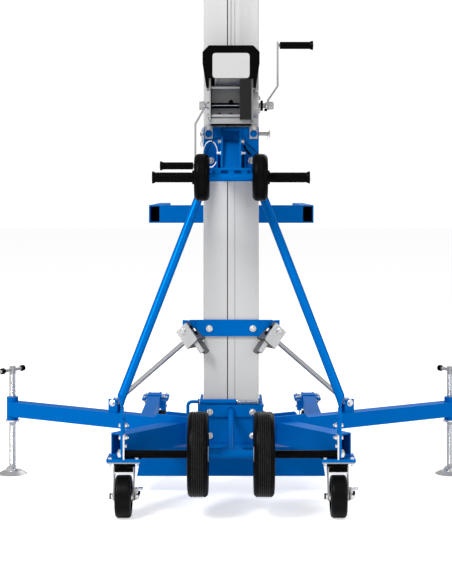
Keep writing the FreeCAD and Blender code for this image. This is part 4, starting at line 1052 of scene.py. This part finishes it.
    def _welds(self, mesh: Mesh) -> None:
        """Fills the beads where the brace meets its sleeve and the mast foot.

        Args:
            mesh: Mesh to fill.
        """
        for side in (-1, 1):
            add_wire(mesh, [Vector((side * (98 - 1.2 * (step % 2)), 203.4, 266 + step * 2.2))
                            for step in range(16)], 1.6, 6)
        bead = [Vector((11.0 * math.cos(t), 202.0 - 0.4 * (step % 2), 284 + 14.0 * math.sin(t)))
                for step, t in enumerate(angles(math.tau, 28)[:-1])]
        add_wire(mesh, bead, 1.9, 6, closed=True)


@dataclass
class TransportWheels(Trim):
    """The two large wheels on the rear axle: ribbed tyres on grey hubs."""

    across: float = 98.5
    back: float = -23.5
    height: float = 190.0
    radius: float = 127.0
    half: float = 31.0
    rim: float = 88.0
    shoulder: float = 14.0
    groove_pitch: float = 6.2
    groove_depth: float = 2.6
    grooves: int = 6
    bolt_circle: float = 52.0

    def dress(self) -> None:
        """Adds both wheels."""
        for side, sign in SIDES:
            centre = (sign * self.across, self.back, self.height)
            body = f"transport_roller_{side}"
            self.add(f"transport_tyre_{side}", body, Finish.TYRE,
                     lambda mesh: add_lathe(mesh, self._tyre(), centre, X_WAY, 96),
                     replaces=[f"transport_wheel_{side}"])
            self.add(f"transport_hub_{side}", body, Finish.HUB,
                     lambda mesh: self._hub(mesh, centre))
            self.add_bolts(f"transport_hub_bolts_{side}", body, [
                Joint(tuple(point), way * X_WAY, M8) for way in (-1, 1)
                for point in circle((centre[0] + way * 17.0, *centre[1:]), self.bolt_circle,
                                    self.bolt_circle, 3)])

    def _tyre(self) -> Profile:
        """The tyre's section: bead, sidewall, shoulder and ribbed tread.

        Returns:
            Its corners.
        """
        half, rim, curve, radius = self.half, self.rim, self.shoulder, self.radius
        side = [(half - 3, rim), (half - 1, rim + 3), (half, rim + 12), (half, rim + 17),
                (half - 0.8, rim + 18.5), (half, rim + 20)]
        side += [(half - curve + curve * math.cos(t), radius - curve + curve * math.sin(t))
                 for t in angles(math.pi / 2, 7)]
        tread = []
        for number in range(self.grooves):
            x = self.groove_pitch * (self.grooves - 1) / 2 - number * self.groove_pitch
            floor = radius - self.groove_depth
            tread += [(x + 1.1, radius), (x + 0.8, floor), (x - 0.8, floor), (x - 1.1, radius)]
        return side + tread + [(-x, r) for x, r in reversed(side)]

    def _hub(self, mesh: Mesh, centre: Point) -> None:
        """Fills the pressed hub, with its rim, dish and six ribs each side.

        Args:
            mesh: Mesh to fill.
            centre: The wheel's centre.
        """
        rim, edge = self.rim + 0.4, self.half - 4
        half = [(31, 10.2), (31, 22), (28, 24), (18, 26), (16, 60), (17, 76), (edge - 2, 80),
                (edge, 82), (edge, rim)]
        profile = [(-31, 10.2), *half, *[(-x, r) for x, r in reversed(half[1:])]]
        add_lathe(mesh, profile, centre, X_WAY, 72)
        for number in range(6):
            turn = Matrix.Rotation(math.tau * (number + 0.5) / 6, 4, "X")
            add_placed(mesh, Matrix.Translation(centre) @ turn, lambda part: add_box_pair(
                part, (15.5, -2.5, 23.5), (23.0, 2.5, 79.0)))


@dataclass
class CasterTrim(Trim):
    """Race, nuts, bearing shields, brake pad and plate bolts of the four casters."""

    rear_across: float = 322.5
    rear_forward: float = 10.0
    front_across: float = 295.0
    front_forward: float = 1235.0
    front_left_turn: float = 30.0
    trail: float = 32.0
    wheel_radius: float = 63.5
    bolt_out: float = 40.5
    plate_top: float = 176.5
    plate_low: float = 164.0

    def dress(self) -> None:
        """Dresses every caster."""
        bolts = []
        for end, across, forward in (("rear", self.rear_across, self.rear_forward),
                                     ("front", self.front_across, self.front_forward)):
            for side, sign in SIDES:
                turn = self.front_left_turn if (end, side) == ("front", "left") else 0.0
                place = (Matrix.Translation((sign * across, forward, 0))
                         @ Matrix.Rotation(math.radians(turn), 4, "Z"))
                self._fork(f"{end}_{side}", place)
                self.add(f"caster_shields_{end}_{side}", f"caster_roller_{end}_{side}",
                         Finish.HUB, self._shields, place)
                for out, ahead in ((-1, -1), (-1, 1), (1, -1), (1, 1)):
                    if end == "rear" and (out, ahead) == (-1, 1):
                        continue
                    point = (sign * (across + out * self.bolt_out), forward + ahead * self.bolt_out)
                    bolts.append(Joint((*point, self.plate_top), Z_WAY, M8))
                    bolts.append(Joint((*point, self.plate_low), -Z_WAY, M8_NUT))
        self.add_bolts("caster_plate_bolts", "frame", bolts)

    def _fork(self, name: str, place: Matrix) -> None:
        """Dresses one fork.

        Args:
            name: Which caster.
            place: Takes the fork's frame to the CAD source's.
        """
        back, axle, body = -self.trail, (-self.trail, self.wheel_radius), f"caster_{name}"

        def dark(mesh: Mesh) -> None:
            race = [(150, 27.2), (150, 31.5), (152, 33.5), (157.5, 33.5), (160, 31), (160, 27.2)]
            add_lathe(mesh, race, (0, 0, 0), Z_WAY, 36)
            add_box(mesh, (-27.8, -27.3, 134.4), (27.8, -22, 149.6))
            add_lathe(mesh, band(0, 2.8, 6.2, 12.5), (31.6, *axle), X_WAY, 24)
            add_lathe(mesh, band(0, 3.4, 6.2, 9.5), (-38.8, *axle), -X_WAY, 24)
            add_box(mesh, (43.5, back - 8, 70), (50, back + 6, 79))

        def metal(mesh: Mesh) -> None:
            add_box(mesh, (37.4, back - 3, 73), (46, back + 3, 77))
            add_cylinder(mesh, (0, 0, 146.4), -Z_WAY, 7.5, 9.5, 6)
            add_cylinder(mesh, (0, 0, 139.5), -Z_WAY, 3.5, 5.5, 16)
            add_box(mesh, (-28.2, -28.2, 130.0), (28.2, -24, 134.5))
            for sign in (-1, 1):
                add_lathe(mesh, [(0, 6.2), (0, 12.5), (2.4, 11), (3.6, 11), (3.6, 6.2)],
                          (sign * 24.2, *axle), sign * X_WAY, 24)
            add_prism(mesh, [(back + 12, 55), (back + 24, 73), (back + 18, 88), (back + 12, 84)],
                      "X", 34.4, 37.4)
            add_cylinder(mesh, (34.6, back - 13, 88.5), X_WAY, 24.5, 3.0, 12)
        self.add(f"caster_dark_parts_{name}", body, Finish.RUBBER, dark, place)
        self.add(f"caster_fork_metal_{name}", body, Finish.BRIGHT, metal, place)
        nut = Bolt(9.0, 6.0, 11.0, 1.6, 3.0)
        self.add_bolts(f"caster_axle_nuts_{name}", body, [
            Joint((-31.5, *axle), -X_WAY, nut), Joint((37.5, *axle), X_WAY, nut),
            Joint((37.5, back + 3, 84.0), X_WAY, M8)], place)
        self.add(f"caster_brake_pad_{name}", body, Finish.BRIGHT, lambda mesh: add_box(
            mesh, (45, back - 23, 90.3), (58.5, back - 3, 92)), place)

    def _shields(self, mesh: Mesh) -> None:
        """Fills the bearing shields on both sides of one wheel.

        Args:
            mesh: Mesh to fill.
        """
        for sign in (-1, 1):
            add_lathe(mesh, [(17.8, 17.0), (17.8, 44), (18.6, 44), (19.6, 30), (18.8, 17.0)],
                      (0, -self.trail, self.wheel_radius), sign * X_WAY, 36)


@dataclass
class LatchBoxes(Trim):
    """The pressed boxes that hold the brace rods' tops, and the rods' sleeves; a box's walls get a
    darker copy of zinc as painted shade and its web light metal as painted light.

    A box is drawn with X along it, Y forward and Z across it.
    """

    pivot_out: float = -31.7
    pivot_height: float = 538.5
    tilt: float = 130.0
    shift: Triple = (-5.0, 0.0, -1.6)
    head: float = -14.6
    tail: float = 52.1
    half: float = 25.0
    plate: float = 3.0
    back: float = -48.0
    brace_foot: Triple = (260.8, 0.0, 282.2)
    brace_tip: Triple = (-40.4, 0.0, 519.5)
    sleeve_radius: float = 8.2

    def place(self, sign: int) -> Matrix:
        """Takes a box's own frame to the CAD source's.

        Args:
            sign: 1 on the right, -1 on the left.

        Returns:
            The matrix.
        """
        pivot = Vector((self.pivot_out, 0, self.pivot_height)) + Vector(self.shift)
        return (arm_plane(sign) @ Matrix.Translation(pivot)
                @ Matrix.Rotation(math.radians(self.tilt), 4, "Y"))

    def dress(self) -> None:
        """Adds both boxes, their bolts and the sleeves of the brace rods."""
        # The walls in the darker zinc are painted shade; the web and tongue strip in mast metal are
        # painted light.
        for name, finish, form, nodes in (
                ("latch_box_shells_painted_shade", Finish.DARK_ZINC, self._shell, ["latch_boxes"]),
                ("latch_box_faces_painted_light", Finish.MAST, self._face, []),
                # The black discs stand for the shade inside the wall's holes: painted shade.
                ("latch_box_hole_shade", Finish.RUBBER, self._plugs, [])):
            def build(mesh: Mesh) -> None:
                for sign in (1, -1):
                    add_placed(mesh, self.place(sign), form)
            self.add(name, "frame", finish, build, replaces=nodes)
        low, high = Vector(self.brace_foot), Vector(self.brace_tip)
        along = (high - low).normalized()
        for side, sign in SIDES:
            self.add(f"brace_sleeve_{side}", f"brace_{side}", Finish.ZINC,
                     lambda mesh: add_cylinder(mesh, low + 18 * along, along,
                                               (high - low).length - 26, self.sleeve_radius, 28),
                     arm_plane(sign))
            self.add_bolts(f"latch_box_bolt_{side}", "frame", [
                Joint((0, self.back, 0), -Y_WAY, Bolt(8.5, 6.0, 10.5, 2.0))], self.place(sign))

    def _shell(self, mesh: Mesh) -> None:
        """Fills one box's walls and tongue.

        Args:
            mesh: Mesh to fill.
        """
        head, tail, half, plate, back = self.head, self.tail, self.half, self.plate, self.back
        far = [(head, back + 1), (tail, back + 1), (tail, 0), (30, 12), (17, 19), (head, 19),
               (head, -17), (20, -17), (20, -30), (head, -30)]
        add_prism(mesh, far, "Z", -half, plate - half)
        add_box(mesh, (head, back + 1, half - plate), (40, -12.5, half))
        add_box(mesh, (40, back + 1, half - plate), (tail, 12, half))
        add_box(mesh, (tail - plate, back + 1, -half), (tail, 0, half))
        tongue = [(tail - 2, -36), (tail + 40, -36), (tail + 44.5, -31.5), (tail + 44.5, -11),
                  (tail + 40, -6), (tail - 2, -6)]
        add_prism(mesh, tongue, "Z", -15, -5.5)

    def _face(self, mesh: Mesh) -> None:
        """Fills one box's web, lighter than its walls as painted light, and a painted highlight
        strip along its tongue.

        Args:
            mesh: Mesh to fill.
        """
        head, tail, half, back = self.head, self.tail, self.half, self.back
        web = [(head, 4 - half), (head + 4, -half), (tail - 4, -half), (tail, 4 - half),
               (tail, half - 4), (tail - 4, half), (head + 4, half), (head, half - 4)]
        add_prism(mesh, web, "Y", back, back + self.plate)
        add_box(mesh, (tail - 1, -38, -15.5), (tail + 38, -36, 1))
        add_box(mesh, (tail - 1, -38, -1), (tail + 38, -22, 1))

    def _plugs(self, mesh: Mesh) -> None:
        """Fills the two black discs in one box's inboard wall: painted shade in its two holes.

        Args:
            mesh: Mesh to fill.
        """
        for x, y in ((6.0, -38.5), (29.0, -33.0)):
            add_cylinder(mesh, (x, y, -self.half + 0.5), -Z_WAY, 3.4, 7.2, 20, 6.2)


@dataclass
class StabiliserTrim(Trim):
    """Bolts, screw threads and handle knobs of the folding stabilisers."""

    reach: float = 700.0
    screw_radius: float = 11.0
    thread_pitch: float = 4.0
    handle_height: float = 360.0

    def dress(self) -> None:
        """Dresses both stabilisers."""
        for side, sign in SIDES:
            place, body = arm_plane(sign), f"stabiliser_{side}"
            self.add_bolts(f"stabiliser_bolts_{side}", body, [
                Joint((260.8, -17.5, 282.2), -Y_WAY, Bolt(9.0, 6.5, 11.5, 2.0)),
                Joint((260.8, 17.5, 282.2), Y_WAY, Bolt(9.0, 6.5, 11.5, 2.0, 3.0))], place)
            self.add_bolts(f"stabiliser_hinge_nuts_{side}", "frame", [
                Joint((60.0, -38.2, 225.5), -Y_WAY),
                Joint((60.0, 38.5, 225.5), Y_WAY, Bolt(9.0, 6.5, 11.0, 2.0, 3.0))], place)
            self.add(f"jack_thread_{side}", body, Finish.BRIGHT, self._thread, place)
            self.add(f"jack_knobs_{side}", body, Finish.RUBBER, self._knobs, place)

    def _thread(self, mesh: Mesh) -> None:
        """Fills the screw's thread above and below the arm's sleeve, and its collars.

        Args:
            mesh: Mesh to fill.
        """
        root, valley, crest = (self.screw_radius + rise for rise in (-0.4, 0.1, 1.4))
        foot = (self.reach, 0, 0)
        for low, high in ((34.0, 182.0), (270.0, 346.0)):
            profile = [(low, root)]
            for number in range(int((high - low) / self.thread_pitch)):
                z = low + number * self.thread_pitch
                profile += [(z, valley), (z + self.thread_pitch / 2, crest)]
            add_lathe(mesh, profile + [(high, valley), (high, root)], foot, Z_WAY, 28)
        add_lathe(mesh, band(181, 187, 20.0, 25.0), foot, Z_WAY, 32)
        add_lathe(mesh, [(12, 11.5), (12, 24), (20, 22), (26, 15), (26, 11.5)], foot, Z_WAY, 32)

    def _knobs(self, mesh: Mesh) -> None:
        """Fills the moulded knobs on the ends of the screw's cross handle.

        Args:
            mesh: Mesh to fill.
        """
        for sign in (-1, 1):
            add_lathe(mesh, [(0, 6.1), (0, 9), (3, 10.5), (14, 10.5), (18, 7), (18, 6.1)],
                      (self.reach, sign * 44, self.handle_height), sign * Y_WAY, 24)


@dataclass
class HandleTrim(Trim):
    """Grip ribs, wheel rings, bolts, hold pin and wire lines around the handle."""

    back: float = -20.0
    height: float = 1021.0
    grip_inner: float = 117.0
    grip_end: float = 237.0
    grip_radius: float = 15.0
    rib_pitch: float = 6.0
    wheel_across: float = 87.5
    collar_across: float = 110.9
    pin_depth: float = 233.0
    pin_height: float = 1162.0

    def dress(self) -> None:
        """Adds the handle's pieces."""
        self.add("grip_ribs", "frame", Finish.RUBBER, self._ribs)
        for side, sign in SIDES:
            centre = (sign * self.wheel_across, self.back, self.height)
            self.add(f"loading_wheel_rings_{side}", f"loading_roller_{side}", Finish.RUBBER,
                     lambda mesh: self._wheel_rings(mesh, centre))
        self.add_bolts("bracket_bolts", "frame", both([
            Joint((31.0, 150.0, 1134.0), X_WAY, Bolt(7.5, 6.5, 9.5, 2.0, 2.5)),
            Joint((64.0, 205.2, 1076.0), -Y_WAY, Bolt(8.0, 6.5, 10.5, 2.0)),
            Joint((71.0, 206.7, 1180.5), -Y_WAY, Bolt(7.6, 5.5, 8.0, 1.6))]))
        self.add("bracket_pegs", "frame", Finish.NYLON, self._pegs)
        self.add("shelf_rib", "frame", Finish.BLUE,
                 lambda mesh: add_box(mesh, (-55, 52, 1018), (55, 56, 1043.2)))
        self.add("hold_pin_fittings", "frame", Finish.BRIGHT, self._pin)
        loop = [Vector((-65 + 22.8 * math.cos(t), 190 + 5 * math.sin(2 * t),
                        1096 + 41 * math.sin(t))) for t in angles(math.tau, 48)[:-1]]
        self.add("wire_loop", "frame", Finish.NYLON,
                 lambda mesh: add_wire(mesh, loop, 1.8, 10, closed=True))
        self.add("pin_tethers", "frame", Finish.RUBBER, self._tethers)

    def _ribs(self, mesh: Mesh) -> None:
        """Fills the ribs of both grips and the collars beside them.

        Args:
            mesh: Mesh to fill.
        """
        radius = self.grip_radius
        rib = [(0, radius - 0.5), (0.7, radius + 0.7), (2.7, radius + 0.7), (3.4, radius - 0.5)]
        collar = [(0, 12.1), (0, 19.5), (1.5, 21), (4.6, 21), (5.8, 19.5), (5.8, 12.1)]
        count = int((self.grip_end - self.grip_inner - 24) / self.rib_pitch)
        for side in (-1, 1):
            for number in range(count):
                x = self.grip_inner + 10 + number * self.rib_pitch
                add_lathe(mesh, rib, (side * x, self.back, self.height), side * X_WAY, 28)
            add_lathe(mesh, collar, (side * self.collar_across, self.back, self.height),
                      side * X_WAY, 36)

    @staticmethod
    def _wheel_rings(mesh: Mesh, centre: Point) -> None:
        """Fills the side rings and tread ribs of one loading wheel.

        Args:
            mesh: Mesh to fill.
            centre: The wheel's centre.
        """
        for way in (-1, 1):
            add_lathe(mesh, [(18.2, 21.0), (18.2, 43.5), (19.2, 43.5), (20.4, 30), (19.4, 21.0)],
                      centre, way * X_WAY, 40)
        for rib in range(-2, 3):
            x = rib * 3.2
            add_lathe(mesh, [(x - 0.8, 70.6), (x - 0.5, 71.2), (x + 0.5, 71.2), (x + 0.8, 70.6)],
                      centre, X_WAY, 72)

    @staticmethod
    def _pegs(mesh: Mesh) -> None:
        """Fills the white pegs in the bracket's walls.

        Args:
            mesh: Mesh to fill.
        """
        for side in (-1, 1):
            start = (side * 30.8, 110.0, 1097.0)
            add_cylinder(mesh, start, side * X_WAY, 14.0, 4.2, 16, 3.2)
            add_cylinder(mesh, start, side * X_WAY, 3.0, 6.0, 16)

    def _pin(self, mesh: Mesh) -> None:
        """Fills the hold pin's head, cross pin, ring and spring clip.

        Args:
            mesh: Mesh to fill.
        """
        y, z = self.pin_depth, self.pin_height
        add_lathe(mesh, band(0, 3.5, 6.1, 10.5), (119.5, y, z), X_WAY, 24)
        add_cylinder(mesh, (122.0, y, z + 13), -Z_WAY, 28.0, 2.0, 10)
        add_wire(mesh, circle((115.0, y, z - 13), 7, 7, 24), 1.1, 6, closed=True)
        add_wire(mesh, smooth_path([
            (-94, y, 1117), (-97, y, 1130), (-93, y, 1143), (-96, y, 1156), (-94, y + 3, 1170),
            (-92, y, 1181), (-90, y - 3, 1170), (-91, y - 3, 1150), (-90, y - 3, 1122)]), 1.6, 8)

    @staticmethod
    def _tethers(mesh: Mesh) -> None:
        """Fills the two thin tethers and the short strap at the bracket.

        Args:
            mesh: Mesh to fill.
        """
        for radius, sides, points in (
                (1.2, 6, ((-77, 195, 1098), (-70, 180, 1118), (-56, 168, 1138), (-44, 160, 1146),
                          (-34, 152, 1148))),
                (1.3, 6, ((36, 152, 1136), (48, 168, 1130), (62, 182, 1119), (78, 192, 1105),
                          (89, 196, 1096))),
                (3.2, 8, ((40, 190, 1124), (46, 188, 1112), (55, 190, 1101), (62, 192, 1092)))):
            add_wire(mesh, smooth_path(points), radius, sides)


@dataclass
class WinchTrim(Trim):
    """Cable turns, nuts, knobs and covers of the hand winch, black boxes of painted shade inside
    it, and a painted highlight on the crank's sleeve.

    The left-hand painted shade is in four pieces, so that the crank's shaft passes between them.
    """

    crank_back: float = 165.0
    crank_height: float = 1247.6
    drum_back: float = 133.0
    drum_height: float = 1345.0
    drum_half: float = 42.5
    wound: float = 33.7
    cable: float = 2.5
    cover_radius: float = 39.0
    cover_rise: float = 8.4
    # Black boxes where the winch's inside lies in shade, under the strip bar and beside its sides:
    # painted shade.
    liners: tuple[tuple[Triple, Triple], ...] = (
        ((-62.8, 92, 1205), (-61, 214.6, 1236)), ((-62.8, 92, 1259.5), (-61, 214.6, 1300)),
        ((-62.8, 92, 1236), (-61, 153, 1259.5)), ((-62.8, 177, 1236), (-61, 214.6, 1259.5)),
        ((-62.8, 206, 1302), (26.8, 214.6, 1376)), ((-62.8, 200, 1186.5), (62.8, 214.6, 1192)),
        ((61.2, 92, 1190), (62.8, 130, 1300)))

    def dress(self) -> None:
        """Adds the winch's pieces."""
        turns = coil(-self.drum_half, self.drum_half, self.drum_back, self.drum_height,
                     self.wound + 0.8, 17, 28)
        self.add("drum_cable_turns", "drum", Finish.ZINC,
                 lambda mesh: add_wire(mesh, turns, self.cable, 8))
        self.add("brake_cover", "frame", Finish.ZINC, self._brake_cover)
        self.add_bolts("brake_cover_bolts", "frame", [
            Joint((86.4, self.crank_back + 27 * math.cos(t),
                   self.crank_height + 3 + 29 * math.sin(t)), X_WAY, M8)
            for t in (math.pi / 4 * odd for odd in (1, 3, 5, 7))])
        self._crank()
        self._plate_fittings()

    def _brake_cover(self, mesh: Mesh) -> None:
        """Fills the pressed cover over the load brake, an upright oval.

        Args:
            mesh: Mesh to fill.
        """
        back, low, radius = self.crank_back, self.crank_height, self.cover_radius
        rings = []
        for x, size in ((68.1, radius), (82.0, radius), (85.2, radius - 1.2),
                        (86.4, radius - 4.5), (86.4, 15.0), (68.1, 15.0)):
            rings.append([mesh.verts.new((x, back + way * size * math.cos(t),
                                          low + rise + way * size * math.sin(t)))
                          for way, rise in ((1, self.cover_rise), (-1, 0.0))
                          for t in angles(math.pi, 16)])
        join_rings(mesh, rings, closed=True)

    def _crank(self) -> None:
        """Adds the crank's nuts, washers, pawl, the sleeve on its shaft and a bright line on the
        sleeve as a painted highlight.
        """
        back, height = axis = (self.crank_back, self.crank_height)

        def bright(mesh: Mesh) -> None:
            add_cylinder(mesh, (-84.5, *axis), -X_WAY, 15.5, 13.2, 6)
            add_lathe(mesh, band(0, 2, 10.1, 14.5), (-84.5, *axis), X_WAY, 28)
            add_cylinder(mesh, (-68.3, *axis), -X_WAY, 7.0, 12.0, 6)
            add_cylinder(mesh, (119.3, *axis), X_WAY, 11.5, 12.6, 6)
            add_cylinder(mesh, (109.5, *axis), X_WAY, 3.0, 14.0, 28)
            add_cylinder(mesh, (130.0, *axis), X_WAY, 4.0, 7.5, 20)

        def dark(mesh: Mesh) -> None:
            add_lathe(mesh, band(0, 7, 10.1, 16.5), (92.6, *axis), X_WAY, 36)
            add_cylinder(mesh, (104, back - 6, height - 14), X_WAY, 9.0, 4.0, 12)
        self.add("crank_nuts", "crank", Finish.BRIGHT, bright)
        self.add("crank_washers", "crank", Finish.BLACK_STEEL, dark)
        self.add("crank_sleeve", "crank", Finish.BLACK_STEEL, lambda mesh: add_lathe(
            mesh, band(-62.5, 26.5, 7.8, 8.7), (0, *axis), X_WAY, 28))
        # A thin bright rod along the black sleeve: a painted highlight.
        self.add("crank_sleeve_painted_highlight", "crank", Finish.BRIGHT, lambda mesh: add_lathe(
            mesh, band(-60, 24, 0.1, 2.1), (0, back - 7.4, height), X_WAY, 12))

    def _plate_fittings(self) -> None:
        """Adds the back plate's knobs, the black boxes of painted shade and the screws of the
        sides.
        """
        def knobs(mesh: Mesh) -> None:
            for x, z in ((-0.3, 1262.0), (-36.5, 1220.0), (-0.3, 1220.0)):
                add_cylinder(mesh, (x, 214.9, z), -Y_WAY, 6.0, 7.0, 20, 5.5)

        def liners(mesh: Mesh) -> None:
            for low, high in self.liners:
                add_box(mesh, low, high)
        self.add("winch_knobs", "frame", Finish.BLACK_STEEL, knobs)
        self.add("winch_painted_shade", "frame", Finish.BLACK_STEEL, liners)
        screws = [Joint((68.0, 100.0, 1212.0), X_WAY, M8), Joint((68.0, 108.0, 1300.0), X_WAY, M8),
                  Joint((68.0, 133.0, 1345.0), X_WAY, M10), Joint((68.0, 196.0, 1210.0), X_WAY, M8)]
        self.add_bolts("winch_side_screws", "frame", [
            joint for joint in both(screws) if joint.at[0] < 0 or joint.at[2] > 1299.0])


@dataclass
class CarriageTrim(Trim):
    """Clamp bolts of the carriage and weld beads of its fork frame."""

    fork_rear: float = 504.0
    upright: float = 56.0
    clamp_heights: tuple[float, float] = (471.0, 738.0)
    weld_heights: tuple[float, float] = (872.0, 930.0)

    def dress(self) -> None:
        """Adds the carriage's pieces."""
        self.add_bolts("fork_clamp_bolts", "fork_carriage", both(
            [Joint((self.upright, self.fork_rear + 6, height), Y_WAY)
             for height in self.clamp_heights]))
        self.add("fork_welds", "fork_carriage", Finish.BLUE, self._welds)

    def _welds(self, mesh: Mesh) -> None:
        """Fills the beads beside the fork frame's bars.

        Args:
            mesh: Mesh to fill.
        """
        for side in (-1, 1):
            for height in self.weld_heights:
                add_wire(mesh, [Vector((side * (238.2 + 0.5 * (step % 2)), 506.0 + step * 2.2,
                                        height)) for step in range(17)], 1.5, 6)


def paint_nodes(library: ShaderLibrary) -> None:
    """Gives every CAD node the material of its record slot.

    Args:
        library: Maker of the materials.
    """
    slots = {row["node"]: row["material_slot"] for row in frame["record"]["subparts"]}
    for name, node in frame["nodes"].items():
        node.data.materials.clear()
        finish = NODE_FINISHES.get(name, Finish(slots[name]))
        node.data.materials.append(library.material(finish))


def main() -> None:
    """Builds the scene in order."""
    logging.basicConfig(level=logging.INFO, format="%(message)s")
    library = ShaderLibrary()
    library.build_groups()
    paint_nodes(library)
    Studio().build()
    PhotoCamera().place()
    for kind in (MastTrim, BaseTrim, TransportWheels, CasterTrim, LatchBoxes, StabiliserTrim,
                 HandleTrim, WinchTrim, CarriageTrim):
        trim = kind(library)
        trim.dress()
        LOG.info("%s added %d triangles", kind.__name__, trim.triangles)


if __name__ == "__main__":
    main()
